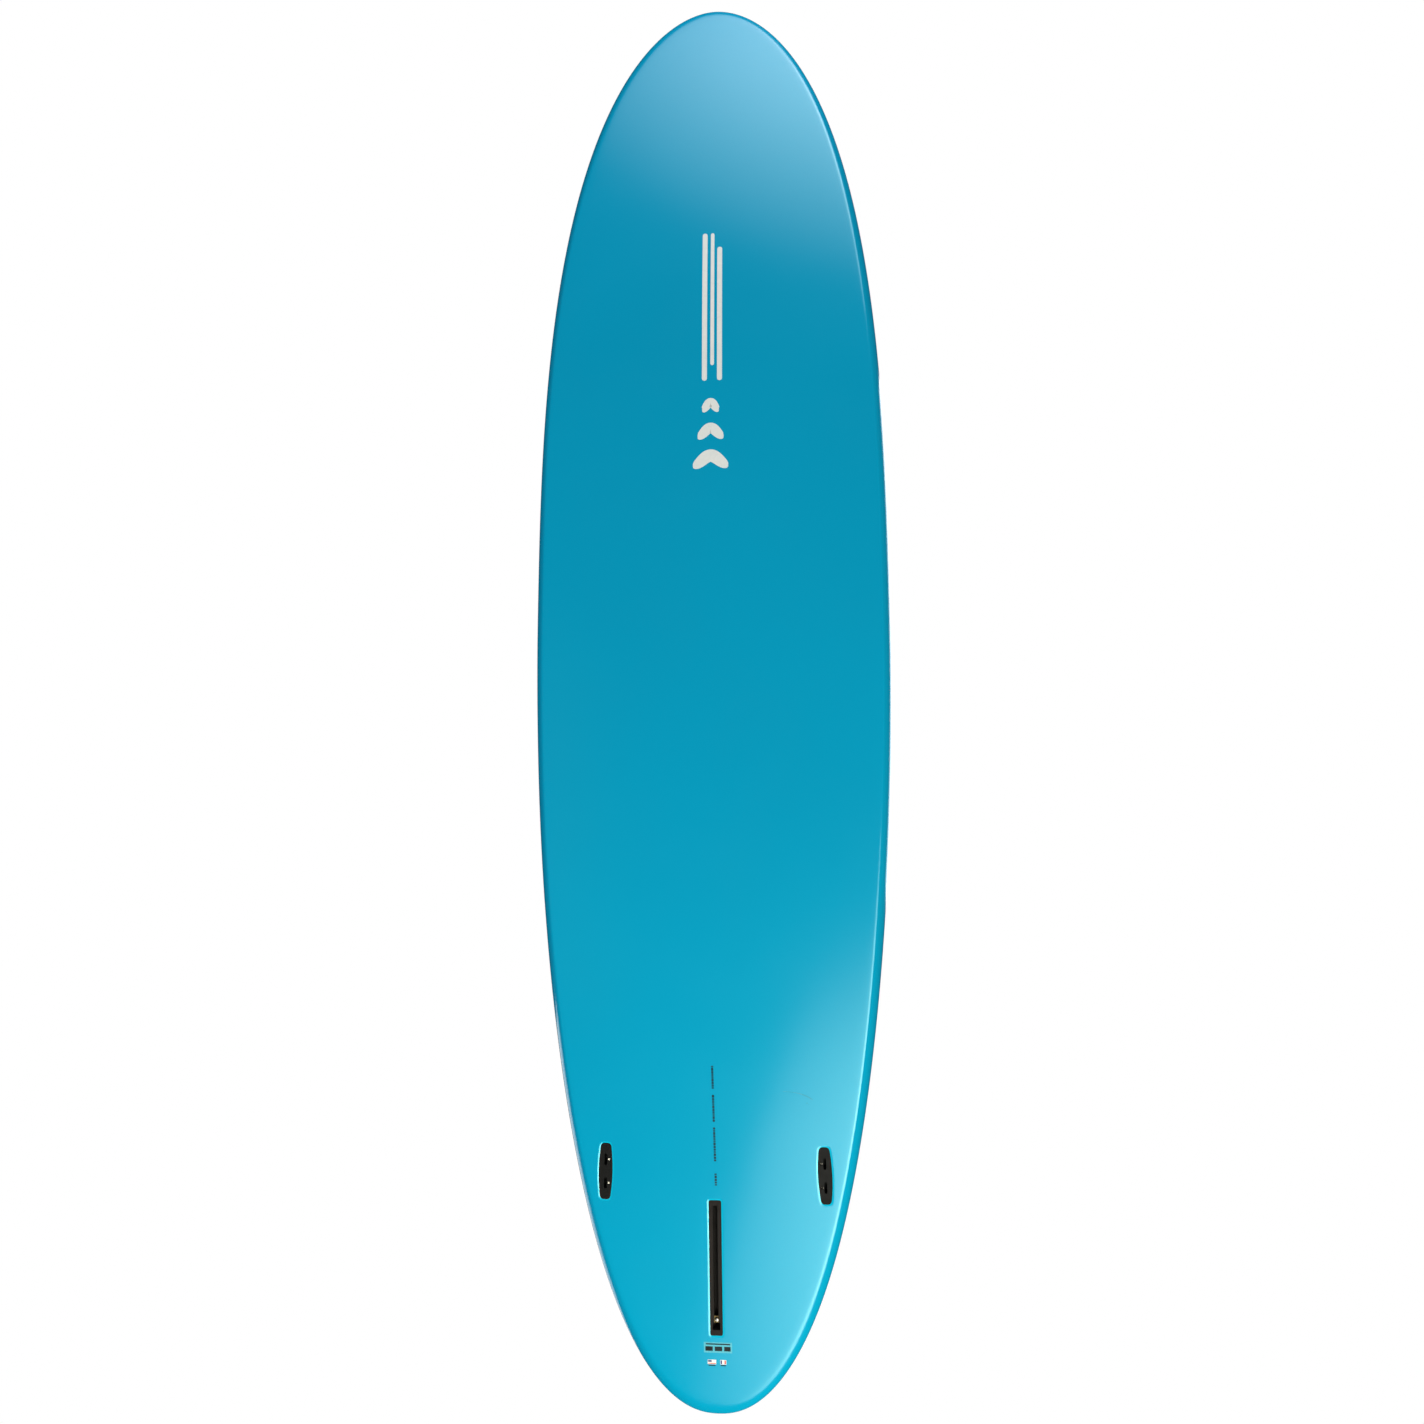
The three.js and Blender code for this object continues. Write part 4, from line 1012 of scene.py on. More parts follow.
def shell(name, sheet, depth):
    """A closed piece: the sheet, the same sheet a thickness behind it, and sides between their edges."""
    points, faces = compact(*sheet)
    normals = sheet_normals(points, faces)
    count = len(points)
    behind = [[i + count for i in f[::-1]] for f in faces]
    sides = {(a, b) for f in faces for a, b in zip(f, f[1:] + f[:1])}
    walls = [[b, a, a + count, b + count] for a, b in sorted(sides) if (b, a) not in sides]
    piece = new_piece(name, np.vstack([points, points - normals * depth]), faces + behind + walls)
    shading = np.vstack([normals, -normals])
    mesh = piece.data
    mesh.polygons.foreach_set("use_smooth", [True] * len(mesh.polygons))
    loops = []
    for number, face in enumerate(mesh.polygons):
        if number < 2 * len(faces):
            loops += [shading[i] for i in face.vertices]
        else:
            loops += [np.array(face.normal)] * len(face.vertices)
    mesh.normals_split_custom_set(np.array(loops).tolist())
    return piece


def distance_from(loop, points):
    """How far each point is from a loop, in plan."""
    far = np.empty(len(points))
    for k in range(0, len(points), 2000):
        gap = points[k : k + 2000, None, :2] - loop[None, :, :]
        far[k : k + 2000] = np.sqrt((gap**2).sum(2)).min(1)
    return far


def mark_points(piece, label, values_at):
    """Stores one number at each point of a piece, for its finish to read."""
    places = np.array([v.co for v in piece.data.vertices])
    piece.data.attributes.new(label, "FLOAT", "POINT").data.foreach_set("value", values_at(places))


def painted_rim_highlight(points):
    """Painted highlight mask: 1 at an opening in the bottom, falling to 0 where the paint is level again."""
    loops = [placed(ring(outline(FITTING_GAP), 0), place)[:, :2] for outline, place in bottom_holes]
    far = np.min([distance_from(loop, points) for loop in loops], axis=0)
    return np.clip(1 - far / SINK_WIDTH, 0, 1)


bottom_skin = shell("bottom_skin_painted", bottom_sheet, SKIN)
dress(bottom_skin, "bottom paint", "board", ["bottom_skin"])
mark_points(bottom_skin, "painted_rim_highlight", painted_rim_highlight)
deck_skin = shell("deck_skin_painted", deck_sheet, SKIN)
dress(deck_skin, "deck paint", "board", ["deck_skin"])
rail_loop = np.vstack([EDGE, EDGE[::-1] * (1, -1)])
mark_points(deck_skin, "from_rail", lambda points: distance_from(rail_loop, points))
for skin in (bottom_skin, deck_skin):
    print(skin.name, len(skin.data.polygons), "faces")

# %% [markdown]
# ## Centre fin box
# The box is one moulding with a long slot for the fin's base, a wider channel under it for the nut plate, a
# drop-in pocket at the rear and a shallow recess at the front. Simple solids cut from each other leave flat
# faces, and a bevel then rounds every edge, which gives the dark line round the real one. A thin line of red
# resin shows just inside its edge, where the box was bonded in.

# %% Fin box with its slot, channel, pocket and recess
DEEP = 10 * MM
SLOT = {"length": FIN_BOX["length"] - 22 * MM, "width": 9.6 * MM, "depth": 22 * MM}
CHANNEL = {"width": 16 * MM, "from": 8 * MM, "to": 13 * MM}
POCKET = 15.5 * MM
RECESS = {"length": 14.5 * MM, "width": 17.6 * MM, "depth": 1 * MM, "from_end": 5 * MM}
FACE_SUNK = 0.25 * MM


def block(name, length, width, low, high, place, x=0.0, corner=0.4 * MM):
    """A straight-sided piece with slightly rounded corners, centred at x along its frame."""
    outline = rounded_rectangle(length, width, corner, 3) + (x, 0)
    return solid(name, [ring(outline, low), ring(outline, high)], place)


box_rings = [ring(box_outline(0), FACE_SUNK), ring(box_outline(0), FIN_BOX["depth"])]
fin_box = solid("fin_box_moulding", box_rings, BOX_FRAME)
pocket_x = (POCKET - SLOT["length"]) / 2
recess_x = (FIN_BOX["length"] - RECESS["length"]) / 2 - RECESS["from_end"]
carve(
    fin_box,
    [
        block("slot", SLOT["length"], SLOT["width"], -DEEP, SLOT["depth"], BOX_FRAME),
        block("channel", SLOT["length"], CHANNEL["width"], CHANNEL["from"], CHANNEL["to"], BOX_FRAME),
        block("pocket", POCKET, POCKET, -DEEP, CHANNEL["to"], BOX_FRAME, pocket_x),
        block("recess", RECESS["length"], RECESS["width"], -DEEP, RECESS["depth"], BOX_FRAME, recess_x),
    ],
)
dress(fin_box, "fin box nylon", "board", ["centre_fin_box"], edge=0.7 * MM)


def resin_line(name, outline, place, inner, outer):
    """A thin bonded line on a fitting's face, between two inset outlines."""
    out_line, in_line, top = outline(-outer), outline(-inner), FACE_SUNK - 0.06 * MM
    rings = [ring(out_line, FACE_SUNK), ring(out_line, top), ring(in_line, top), ring(in_line, FACE_SUNK)]
    points, faces = weld(*loft(rings + [rings[0]], cap_first=False, cap_last=False))
    return dress(new_piece(name, placed(points, place), faces), "resin line", "board")


resin_line("fin_box_resin_line", box_outline, BOX_FRAME, 1.9 * MM, 1.3 * MM)
print("fin box:", len(fin_box.data.polygons), "faces")

# %% [markdown]
# ## Nut plate and fin screw
# The brass plate slides along the channel and the screw stands in its thread, so each is its own piece on its
# own body. The screw's head is a pan head with a cross recess, turned from a profile and then cut.

# %% Nut plate and fin screw
PLATE = {"length": 14 * MM, "width": 14.6 * MM, "corner": 1.2 * MM}
PLATE_THREAD = 2.2 * MM
PLATE_X = round((BOX_FRAME.inverted() @ box_middle("fin_plate")).x, 3)
PLATE_FRAME = BOX_FRAME @ Matrix.Translation((PLATE_X, 0, 0))


def stepped(outline_of, steps):
    """Loops for a solid from (grow, height) steps."""
    return [ring(outline_of(grow), height) for grow, height in steps]


def plate_outline(grow):
    return grown(PLATE, grow, 4)


plate_steps = [(g * MM, z * MM) for g, z in ((-0.4, 8.9), (0, 9.3), (0, 11.7), (-0.4, 12.1))]
plate = solid("nut_plate", stepped(plate_outline, plate_steps), PLATE_FRAME)
thread = circle(PLATE_THREAD)
carve(plate, [solid("thread", [ring(thread, 0), ring(thread, 30 * MM)], PLATE_FRAME)])
dress(plate, "brass", "nut_plate", ["fin_plate"], edge=0.15 * MM)


def turned(name, profile, place, sides=48):
    """A turned solid from (radius, height) steps, lowest first."""
    return solid(name, [ring(circle(radius, sides), height) for radius, height in profile], place)


def threaded(radius, start, stop, pitch):
    """Profile steps of a shank with fine thread ridges."""
    steps = []
    for k in range(int((stop - start) / pitch)):
        z = start + k * pitch
        steps += [(radius - 0.22 * MM, z), (radius, z + 0.5 * pitch)]
    return steps


def cross_arms(reach, thick, low, high, place):
    """The two arms of a cross recess, to be cut one after the other."""
    turns = [place @ Matrix.Rotation(math.radians(angle), 4, "Z") for angle in (0, 90)]
    return [block("cross", 2 * reach, thick, low, high, turn) for turn in turns]


head = [(0.6, 5.9), (2.6, 5.95), (3.45, 6.3), (3.8, 7.0), (3.8, 8.2), (3.5, 8.5), (1.9, 8.5)]
screw_steps = [(r * MM, z * MM) for r, z in head] + threaded(1.9 * MM, 8.7 * MM, 18.4 * MM, 0.7 * MM)
screw = turned("fin_screw_pan_head", screw_steps + [(1.5 * MM, 18.9 * MM)], PLATE_FRAME)
carve(screw, cross_arms(2.3 * MM, 1.1 * MM, 4 * MM, 7.3 * MM, PLATE_FRAME))
dress(screw, "stainless steel", "nut_screw", ["fin_screw"], edge=0.08 * MM)
print("nut plate and screw at", [round(c, 4) for c in PLATE_FRAME.translation])

# %% [markdown]
# ## Side fin plugs
# Each plug holds a side fin by two tabs, and a small leaning grub screw clamps each tab. The plug's soft
# bowed outline is lofted with rounded shoulders, then the two slots and the two screw holes are cut.

# %% Side plugs and grub screws
TAB_SLOT = {"length": 23 * MM, "width": 6 * MM, "corner": 2.95 * MM, "depth": 15 * MM, "spacing": 48 * MM}
GRUB_OUT = 7 * MM
GRUB_LEAN = math.radians(20)
GRUB_RADIUS = 2.2 * MM
GRUB_HOLE = GRUB_RADIUS + 0.45 * MM


def side_plug(side, sign):
    place = PLUG_FRAMES[side]
    name = side + "_side_fin_plug"
    steps = [(g * MM, z * MM) for g, z in ((-0.9, 0.25), (-0.45, 0.33), (-0.12, 0.62), (0, 1.1))]
    plug = solid(name + "_moulding", stepped(plug_outline, steps + [(0, PLUG["depth"])]), place)
    cutters, screws = [], []
    for end, direction in (("front", 1), ("rear", -1)):
        x = direction * TAB_SLOT["spacing"] / 2
        slot = grown(TAB_SLOT, 0) + (x, 0)
        cutters.append(solid("slot", [ring(slot, -DEEP), ring(slot, TAB_SLOT["depth"])], place))
        lean = Matrix.Translation((x, -sign * GRUB_OUT, 0)) @ Matrix.Rotation(-sign * GRUB_LEAN, 4, "X")
        hole = circle(GRUB_HOLE, 32)
        cutters.append(solid("hole", [ring(hole, -4 * MM), ring(hole, 6.3 * MM)], place @ lean))
        screws.append((end, place @ lean))
    carve(plug, cutters)
    dress(plug, "plug nylon", "board", [name], edge=0.3 * MM)
    resin_line(side + "_plug_resin_line", plug_outline, place, 2.1 * MM, 1.5 * MM)
    for end, at in screws:
        grub_screw(side, end, at)


def grub_screw(side, end, at):
    """A headless screw with a hex socket. It has the name of the body that it rides on."""
    body = "_".join([side, end, "grub"])
    steps = [(1.55, 0.8), (1.95, 1.0), (2.2, 1.35)]
    profile = [(r * MM, z * MM) for r, z in steps] + threaded(GRUB_RADIUS, 1.6 * MM, 5.0 * MM, 0.5 * MM)
    piece = turned(body, profile + [(1.6 * MM, 5.3 * MM)], at, 36)
    socket = circle(1.25 * MM, 6)
    carve(piece, [solid("socket", [ring(socket, -MM), ring(socket, 3.0 * MM)], at)])
    dress(piece, "dulled screw steel", body, [body + "_screw"], edge=0.06 * MM)


side_plug("port", 1)
side_plug("starboard", -1)
print("side plugs stand", round(PLUG_FRAMES["port"].translation.y, 4), "m out")

# %% [markdown]
# ## Carry handle
# A moulded cup sunk in the deck at the balance point, with a bar across it in a soft sleeve. The cup is
# lofted in one go: up its outside, over a rounded rim and down to its floor.

# %% Handle cup, bar and sleeve
def crisp(piece, angle=50):
    """Keeps the edges sharp that turn by more than an angle, in degrees."""
    piece.data.set_sharp_from_angle(angle=math.radians(angle))


cup_steps = [(-3, -44), (0, -41), (0, 0.9), (10.6, 0.9), (11, 1.4), (10.6, 2.1), (9.2, 2.75), (6, 3.0)]
cup_steps += [(1.5, 3.0), (-1.0, 2.6), (-2.2, 1.4), (-2.5, -0.5), (-2.5, -37), (-4.0, -40), (-7.5, -41.5)]
cup_rings = stepped(handle_outline, [(g * MM, z * MM) for g, z in cup_steps])
cup = solid("handle_cup_moulding", cup_rings, HANDLE_FRAME)
dress(cup, "deck fitting plastic", "board", ["handle_cup"])
crisp(cup)

ALONG = Matrix.Rotation(math.pi / 2, 4, "Y") @ Matrix.Rotation(math.pi / 2, 4, "Z")
BAR = {"length": 18 * MM, "width": 12 * MM, "corner": 4 * MM}
BAR_SUNK = 9 * MM
BAR_FRAME = HANDLE_FRAME @ Matrix.Translation((0, 0, -BAR_SUNK)) @ ALONG


def grip_outline(grow):
    return grown(BAR, grow)


bar_half, bar_soft = 72.2 * MM, 0.8 * MM
bar_steps = [(-bar_soft, -bar_half), (0, bar_soft - bar_half)]
bar_steps += [(0, bar_half - bar_soft), (-bar_soft, bar_half)]
bar = solid("handle_bar", stepped(grip_outline, bar_steps), BAR_FRAME)
dress(bar, "deck fitting plastic", "board", ["handle_grip_bar"])
crisp(bar)

sleeve_half, sleeve_thick, sleeve_inside = 48 * MM, 2.2 * MM, 0.35 * MM
sleeve_steps = []
for t in np.linspace(-1, 1, 41):
    ribs = 0.35 * MM * math.cos(t * 9 * math.pi) ** 2
    end = max(0, abs(t) - 0.9) / 0.1
    sleeve_steps.append((sleeve_thick - ribs - 1.3 * MM * end**2.5, t * sleeve_half))
sleeve_steps = [(sleeve_inside, -sleeve_half)] + sleeve_steps + [(sleeve_inside, sleeve_half)]
sleeve = solid("handle_sleeve", stepped(grip_outline, sleeve_steps), BAR_FRAME)
dress(sleeve, "neoprene", "board", ["handle_grip_sleeve"])
print("handle at", round(HANDLE_FRAME.translation.x, 4))

# %% [markdown]
# ## Leash cup and vent
# Both are small round mouldings with a rim on the deck. The leash cup has a steel bar to tie to. The vent has
# a steel screw with a coin slot over a rubber seal, and it lets the core breathe through a membrane.

# %% Leash cup and its bar
def turned_mm(name, steps, place, sides=64):
    """A turned solid from steps in millimetres."""
    return turned(name, [(r * MM, z * MM) for r, z in steps], place, sides)


def rimmed_cup(name, node, size, foot, floor, place):
    """A round cup: up its outside from the foot, over its rim and down inside to the floor."""
    outer, rim = size["radius"] / MM, size["rim"] / MM
    bore = outer - size["wall"] / MM
    over = [(outer, 0.35), (rim - 0.2, 0.35), (rim, 0.7)]
    over += [(rim - 0.4, 1.3), (rim - 1.6, 1.8), (rim - 3.4, 1.9)]
    inside = [(bore + 1.1, 1.75), (bore + 0.3, 1.2), (bore, 0.2)]
    cup = turned_mm(name, foot + over + inside + floor, place)
    dress(cup, "deck fitting plastic", "board", [node])
    crisp(cup)


leash_foot, leash_floor = [(13.5, -22), (14.5, -21)], [(12.5, -17), (11.5, -19), (9.0, -20)]
rimmed_cup("leash_cup_moulding", "leash_cup", LEASH, leash_foot, leash_floor, LEASH_FRAME)
across = LEASH_FRAME @ Matrix.Translation((0, 0, -5 * MM)) @ Matrix.Rotation(math.pi / 2, 4, "X")
leash_bar = turned_mm("leash_bar_steel", [(1.7, -12.2), (2, -11.8), (2, 11.8), (1.7, 12.2)], across, 32)
dress(leash_bar, "stainless steel", "board", ["leash_bar"])
crisp(leash_bar)

# %% Vent housing, screw and seal
vent_foot, vent_floor = [(10.4, -18), (11, -17.4)], [(8.5, -15.2), (8.0, -15.5)]
rimmed_cup("vent_housing_moulding", "vent_housing", VENT, vent_foot, vent_floor, VENT_FRAME)
vent_profile = [(4.6, -11), (5, -10.6), (5, -4), (7.9, -4), (8.2, -3.7), (8.2, 0.1), (7.7, 0.65), (6.6, 0.8)]
vent_screw = turned_mm("vent_screw_steel", vent_profile, VENT_FRAME)
carve(vent_screw, [block("coin slot", 20 * MM, 1.8 * MM, -0.8 * MM, 4 * MM, VENT_FRAME)])
dress(vent_screw, "stainless steel", "vent_plug", ["vent_screw"], edge=0.12 * MM)


def seal_ring(name, radius, section, height, place, sides=64, turns=16):
    """A round rubber ring."""
    points, faces = [], []
    for i in range(sides):
        a = 2 * math.pi * i / sides
        for j in range(turns):
            b = 2 * math.pi * j / turns
            r = radius + section * math.cos(b)
            points.append((r * math.cos(a), r * math.sin(a), height + section * math.sin(b)))
            nexti, nextj = (i + 1) % sides, (j + 1) % turns
            faces.append([i * turns + j, nexti * turns + j, nexti * turns + nextj, i * turns + nextj])
    return new_piece(name, placed(np.array(points), place), faces)


seal = seal_ring("vent_seal_ring", 6.3 * MM, 0.95 * MM, -5.25 * MM, VENT_FRAME)
dress(seal, "seal rubber", "vent_plug", ["vent_o_ring"])
print("leash cup at", round(LEASH_FRAME.translation.x, 3), " vent at", round(VENT_FRAME.translation.x, 3))

# %% [markdown]
# ## Grip pads
# Foam pads are glued over the standing area in four panels. Each panel is milled with a waffle of grooves
# that drain water and grip wet feet, and its rim is chamfered. The grooves are real shape: the top is a grid
# whose rows crowd round every groove, and the pad follows the crown of the deck.

# %% Four grip panels
PAD = {"thickness": 5 * MM, "front": 690 * MM, "split": -420 * MM, "aft": -1400 * MM, "inset": 72 * MM}
SEAM_HALF = 4 * MM
NOSE_ROUND = 420 * MM
FOAM_LIFT = 0.35 * MM
GROOVE = 1.7 * MM
CHAMFER = 2.4 * MM
CELL = 27 * MM


def pad_edge(x, stop, nose_round):
    """How far out a panel reaches at each place along it."""
    near = np.maximum(0, (x - (stop - nose_round)) / nose_round) if nose_round else np.zeros_like(x)
    return (half_width(x) - PAD["inset"]) * np.sqrt(np.maximum(1 - near**2.2, 0.02))


def milled_rows(length):
    """Places over a panel from 0 to 1, with the depth of groove and of chamfer at each."""
    cells = max(1, round(length / CELL))
    rows = [(0, 0, 1), (0.9 * MM / length, 0, 0.45), (2.6 * MM / length, 0, 0)]
    for k in range(1, cells):
        for off, groove in ((-1.9, 0), (-1.2, 1), (1.2, 1), (1.9, 0)):
            rows.append((k / cells + off * MM / length, groove, 0))
    rows += [(1 - place, groove, edge) for place, groove, edge in rows[2::-1]]
    return np.array(rows).T


def closed_slab(name, top, under):
    """A closed piece from two grids of points, the upper and the lower one."""
    stations, rows = top.shape[:2]
    points = np.vstack([top.reshape(-1, 3), under.reshape(-1, 3)])
    count = stations * rows
    faces = []
    for i in range(stations - 1):
        for j in range(rows - 1):
            a = i * rows + j
            faces.append([a, a + rows, a + rows + 1, a + 1])
    faces += [[i + count for i in f[::-1]] for f in faces]
    rim = list(range(rows))
    rim += [i * rows + rows - 1 for i in range(1, stations)]
    rim += [(stations - 1) * rows + j for j in range(rows - 2, -1, -1)]
    rim += [i * rows for i in range(stations - 2, 0, -1)]
    for a, b in zip(rim, rim[1:] + rim[:1]):
        faces.append([a, b, b + count, a + count])
    volume = 0
    for f in faces:
        for k in range(1, len(f) - 1):
            volume += np.dot(points[f[0]], np.cross(points[f[k]], points[f[k + 1]]))
    if volume < 0:
        faces = [f[::-1] for f in faces]
    return new_piece(name, points, faces)


def grip_panel(node, start, stop, side, nose_round):
    along, groove_x, edge_x = milled_rows(stop - start)
    across, groove_y, edge_y = milled_rows(WIDTH / 2 - PAD["inset"])
    x = start + (stop - start) * along
    outer = pad_edge(x, stop, nose_round)
    y = side * (SEAM_HALF + across[None, :] * (outer - SEAM_HALF)[:, None])
    x = np.broadcast_to(x[:, None], y.shape)
    groove = np.maximum(groove_x[:, None], groove_y[None, :])
    edge = np.maximum(edge_x[:, None], edge_y[None, :])
    base = deck_height(x, y) + FOAM_LIFT
    top = base + PAD["thickness"] - np.maximum(GROOVE * groove, CHAMFER * edge)
    panel = closed_slab(node + "_milled", np.dstack([x, y, top]), np.dstack([x, y, base]))
    hole = handle_outline(HANDLE["rim"] + 6 * MM)
    carve(panel, [solid("hole", [ring(hole, -0.1), ring(hole, 0.1)], HANDLE_FRAME)])
    dress(panel, "grip foam", "board", [node])
    crisp(panel, 28)
    return len(panel.data.polygons)


faces_made = 0
for name, side in (("port", 1), ("starboard", -1)):
    split = PAD["split"]
    faces_made += grip_panel("deck_pad_front_" + name, split + SEAM_HALF, PAD["front"], side, NOSE_ROUND)
    faces_made += grip_panel("deck_pad_rear_" + name, PAD["aft"], split - SEAM_HALF, side, 0)
print("grip panels:", faces_made, "faces")

# %% [markdown]
# ## Kick pad
# A wedge at the tail tells the rider's back foot where the board ends. It rises backwards, and ribs run
# across it. Its ends are rounded off and its foot follows the deck.

# %% Kick pad
KICK_FRAME = deck_frame("tail_kick_pad")
KICK_HALF = 23 * MM
KICK_REACH = 95 * MM
KICK_CREST = -9 * MM


def kick_height(x):
    """Height of the wedge over its frame, from its front edge to its back."""
    t = np.clip((KICK_HALF - x) / (KICK_HALF - KICK_CREST), 0, 1)
    rise = 7 * MM + 15 * MM * t**1.8
    back = np.clip((KICK_CREST - x) / (KICK_HALF + KICK_CREST), 0, 1)
    return rise - 2 * MM * back**2


def kick_pad():
    run = np.linspace(-KICK_HALF, KICK_HALF, 64)
    span = KICK_REACH * np.sin(np.linspace(-math.pi / 2, math.pi / 2, 61))
    x, y = np.meshgrid(run, span, indexing="ij")
    inset = np.minimum(KICK_HALF - np.abs(x), KICK_REACH - np.abs(y))
    soft = np.clip(inset / (3 * MM), 0, 1)
    crown = 1 - (1 - np.sqrt(1 - (1 - soft) ** 2)) * 0.5
    end = np.clip((KICK_REACH - np.abs(y)) / (16 * MM), 0, 1)
    ribs = 0.8 * MM * np.clip(np.cos(x / (6.5 * MM) * 2 * math.pi) * 3 - 1.2, 0, 1) * (soft >= 1)
    z = kick_height(x) * crown * (0.55 + 0.45 * np.sqrt(1 - (1 - end) ** 2)) - ribs
    top = placed(np.dstack([x, y, z]).reshape(-1, 3), KICK_FRAME)
    foot = top.copy()
    foot[:, 2] = deck_height(top[:, 0], top[:, 1]) + FOAM_LIFT
    shape = x.shape + (3,)
    pad = closed_slab("tail_kick_wedge", top.reshape(shape), foot.reshape(shape))
    dress(pad, "grip foam", "board", ["tail_kick_pad"])
    crisp(pad)
    return len(pad.data.polygons)


print("kick pad:", kick_pad(), "faces")

# %% [markdown]
# ## Graphics on the bottom
# The graphics are plain: two white stripes and three waves forward, a dotted size line, a small label and two
# colour patches behind the fin box. Each is a thin film made from strokes, whose middle line and half width
# are lists, and it lies on the bottom surface like the real print.

# %% Strokes that lie on the bottom
FILM = 0.14 * MM


def stroke(middle, half_widths, lanes=4):
    """Grid of plan points of a stroke along a middle line."""
    middle = np.asarray(middle, float)
    along = np.gradient(middle, axis=0)
    along /= np.linalg.norm(along, axis=1)[:, None]
    side = np.column_stack([-along[:, 1], along[:, 0]])
    spread = np.linspace(-1, 1, lanes + 1)
    reach = np.asarray(half_widths)[:, None, None] * side[:, None, :] * spread[None, :, None]
    return middle[:, None, :] + reach


def film(name, look, strokes, proud=FILM):
    """One thin piece from several strokes, standing a little proud of the paint."""
    points, faces = [], []
    for grid in strokes:
        stations, rows = grid.shape[:2]
        flat = grid.reshape(-1, 2)
        count, start = len(flat), sum(len(p) for p in points)
        height = bottom_height(flat[:, 0])
        outer = np.column_stack([flat, height - proud])
        points.append(np.vstack([outer, np.column_stack([flat, height + 0.05 * MM])]))
        own = []
        for i in range(stations - 1):
            for j in range(rows - 1):
                a = start + i * rows + j
                own.append([a, a + 1, a + rows + 1, a + rows])
        a, b, c = (flat[k - start] for k in own[0][:3])
        if (b[0] - a[0]) * (c[1] - a[1]) - (b[1] - a[1]) * (c[0] - a[0]) > 0:
            own = [f[::-1] for f in own]
        edges = {(a, b) for f in own for a, b in zip(f, f[1:] + f[:1])}
        walls = [[b, a, a + count, b + count] for a, b in sorted(edges) if (b, a) not in edges]
        faces += own + [[i + count for i in f[::-1]] for f in own] + walls
    piece = new_piece(name, np.vstack(points), faces)
    dress(piece, look, "board")
    crisp(piece, 30)


def straight(start, stop, y, half, round_end=True, steps=40):
    """A straight stroke along the board, with round ends if asked."""
    t = np.linspace(0, 1, steps + 1)
    if round_end:
        t = 0.5 - 0.5 * np.cos(math.pi * t)
    x = start + (stop - start) * t
    widths = np.full(len(x), half)
    if round_end:
        inset = np.minimum(np.abs(x - start), np.abs(stop - x))
        widths = half * np.sqrt(np.clip(1 - (1 - np.clip(inset / half, 0, 1)) ** 2, 1e-4, 1))
    return stroke(np.column_stack([x, np.full(len(x), y)]), widths)


# %% White stripes and waves
CENTRE = 4 * MM
stripes = [
    straight(548 * MM, 912 * MM, CENTRE - 16 * MM, 5.5 * MM),
    straight(584 * MM, 912 * MM, CENTRE + 1 * MM, 4.0 * MM),
    straight(548 * MM, 876 * MM, CENTRE + 17 * MM, 5.5 * MM),
]
film("white_stripes", "white ink", stripes)


def wave(x, width, half, rise):
    """A wave across the board, thick in its middle and fine at its ends."""
    t = np.linspace(-1, 1, 61)
    middle = np.column_stack([x + rise * np.cos(t * math.pi), CENTRE - 2.5 * MM + t * width / 2])
    return stroke(middle, half * (0.25 + 0.75 * np.sqrt(np.maximum(1 - t**2, 0))))


WAVES = [(488, 36, 10, 9), (428, 56, 12, 10), (364, 76, 14, 11)]
film("white_waves", "white ink", [wave(*(size * MM for size in sizes)) for sizes in WAVES])
print("stripes and waves:", len(stripes) + len(WAVES))

# %% Size line, label, colour patches and a rub
DASH_GROUPS = [(-899, -945), (-957, -1012), (-1022, -1092), (-1114, -1141)]
DASH = {"short": 2.6, "longer": 0.75, "gap": 1.6, "half": 2.2, "least": 2}
LINE_LEAN = {"from": -2.0, "by": 4.8, "over": 242}


def size_line():
    """Short dashes of changing length, in groups, down a very slightly leaning line."""
    dashes = []
    for start, stop in DASH_GROUPS:
        place = start
        while place > stop + DASH["least"]:
            length = DASH["short"] + DASH["longer"] * (len(dashes) * 7 % 4)
            lean = LINE_LEAN["from"] + LINE_LEAN["by"] * (DASH_GROUPS[0][0] - place) / LINE_LEAN["over"]
            dashes.append(straight(place * MM, (place - length) * MM, lean * MM, DASH["half"] * MM, False, 2))
            place -= length + DASH["gap"]
    return dashes


film("size_line_dashes", "black ink", size_line())


def patch(front, back, left, right, steps=6):
    """A plain rectangle between two places along the board and two across it, in millimetres."""
    return straight(front * MM, back * MM, (left + right) / 2 * MM, (right - left) / 2 * MM, False, steps)


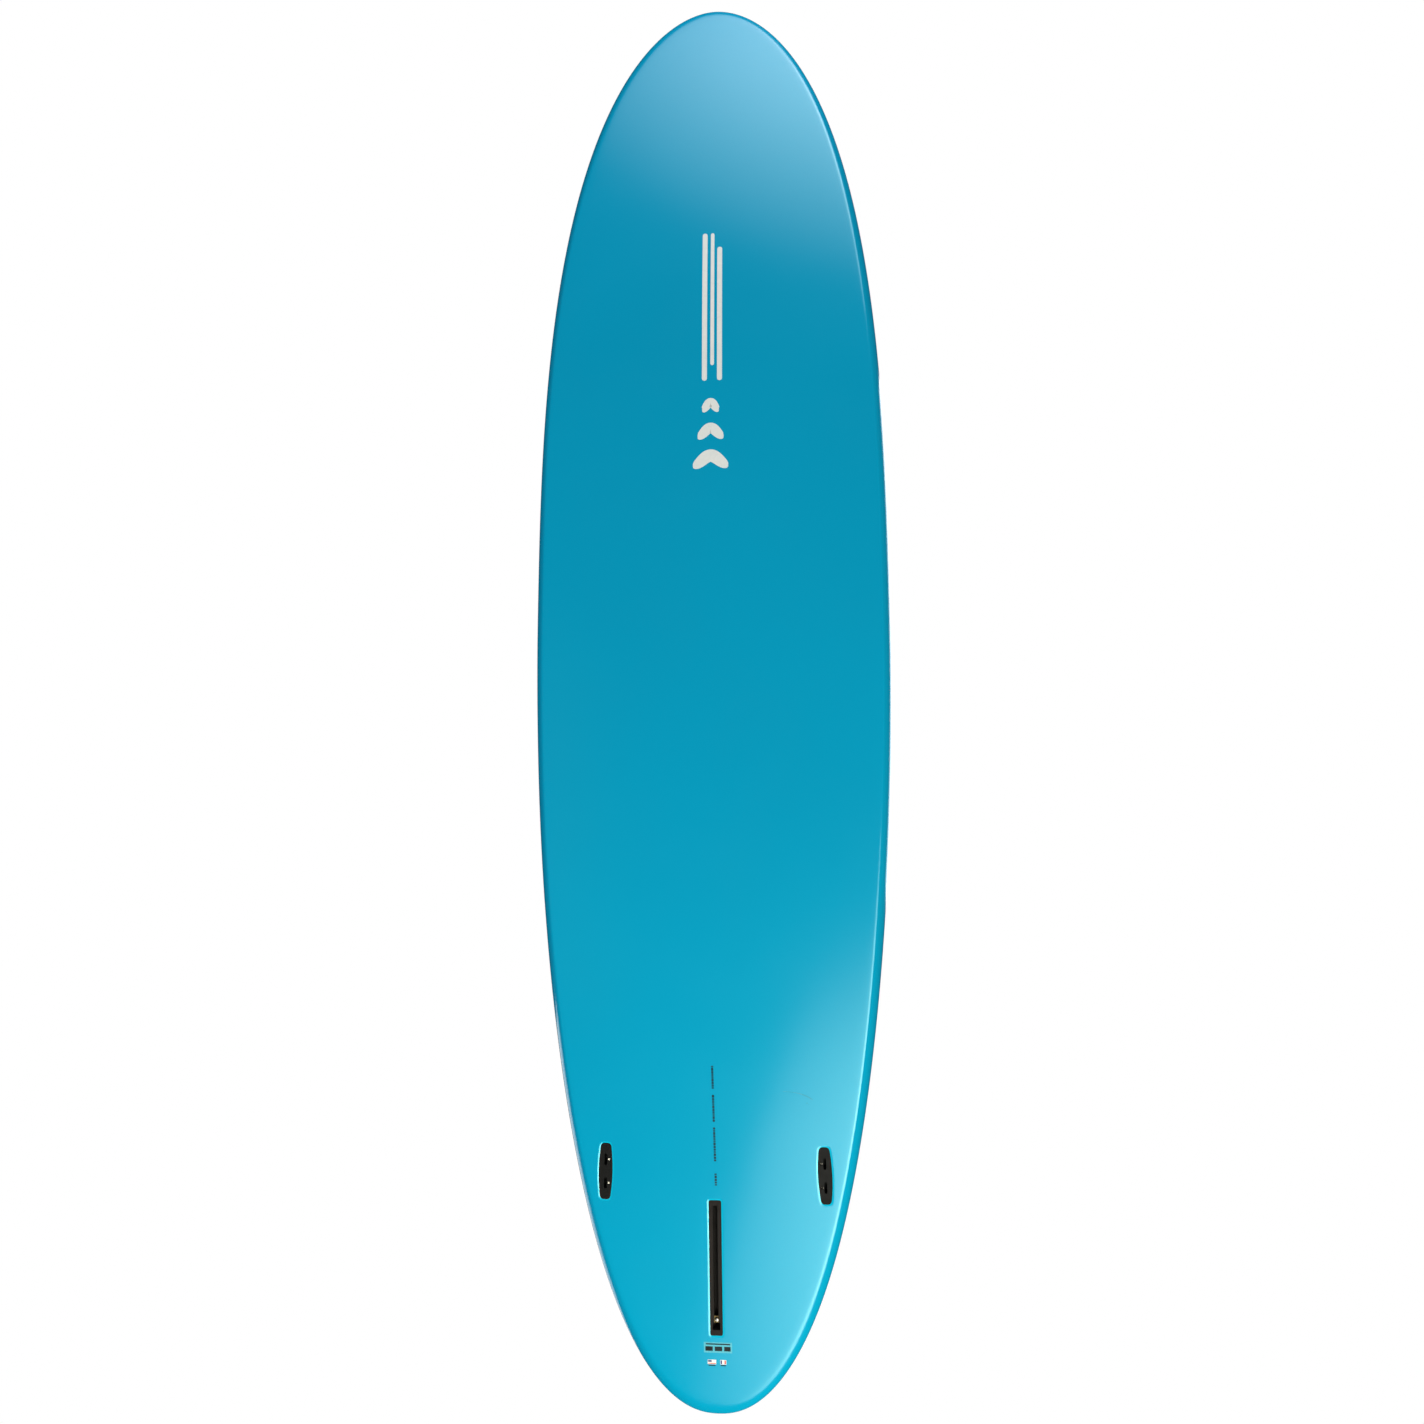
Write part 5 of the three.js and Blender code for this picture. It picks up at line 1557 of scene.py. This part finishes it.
TOP_FILM = 0.2 * MM
LABEL_ROW = (-1459.5, -1468.5)
film("label_ground", "label film", [patch(-1451, -1472, -26, 31)])
bars = [patch(*LABEL_ROW, *sides) for sides in ((-23, -8), (-4, 11), (15, 28))]
film("label_bars", "black ink", [patch(-1453.5, -1456, -22, 27)] + bars, TOP_FILM)
film("patch_white", "white ink", [patch(-1486, -1495, -18.5, -1.5), patch(-1486, -1495, 7, 19)])
blue = [patch(-1486.8, -1490.6, -17.8, -10.5), patch(-1486.8, -1494.2, 7.6, 10.8)]
film("patch_blue", "blue ink", blue, TOP_FILM)
red = [patch(-1492.4, -1494.2, -17.8, -2.2), patch(-1486.8, -1494.2, 15.2, 18.4)]
film("patch_red", "red ink", red, TOP_FILM)
film("patch_foot", "black ink", [patch(-1496.4, -1498.2, -17, -3), patch(-1496.4, -1498.2, 8, 18)])

RUB_FILM = 0.06 * MM
t = np.linspace(0, 1, 50)
arc = np.column_stack([(-947.5 - 3 * t - 13 * t**3) * MM, (140 + 60 * t) * MM])
film("rub_mark", "rubbed paint", [stroke(arc, (0.35 + 1.5 * t**2.2 * (1 - t**9)) * MM, 2)], RUB_FILM)
spots = [patch(-969.2, -971, 187, 189.5), patch(-972.5, -973.5, 191, 192.2)]
film("rub_spots", "rubbed paint", spots, RUB_FILM)

# %% [markdown]
# ## Inside the board
# The core, its stringer and the dense blocks that hold the fittings keep their CAD shapes, which are right as
# they are. They only need their finishes. Everything that was not replaced is listed here by its node.

# %% Finishes for the sealed nodes
FITTINGS = ("fin_box", "port_plug", "starboard_plug", "handle", "leash", "vent")
INSIDE = {
    "core foam": ["port_foam_core", "starboard_foam_core"],
    "stringer wood": ["stringer"],
    "vent membrane": ["vent_membrane"],
    "dense foam": [name + "_foam_block" for name in FITTINGS],
}
for look, nodes in INSIDE.items():
    for name in nodes:
        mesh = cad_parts[name].data
        mesh.materials.clear()
        mesh.materials.append(FINISHES[look])
print("sealed nodes:", sum(map(len, INSIDE.values())))
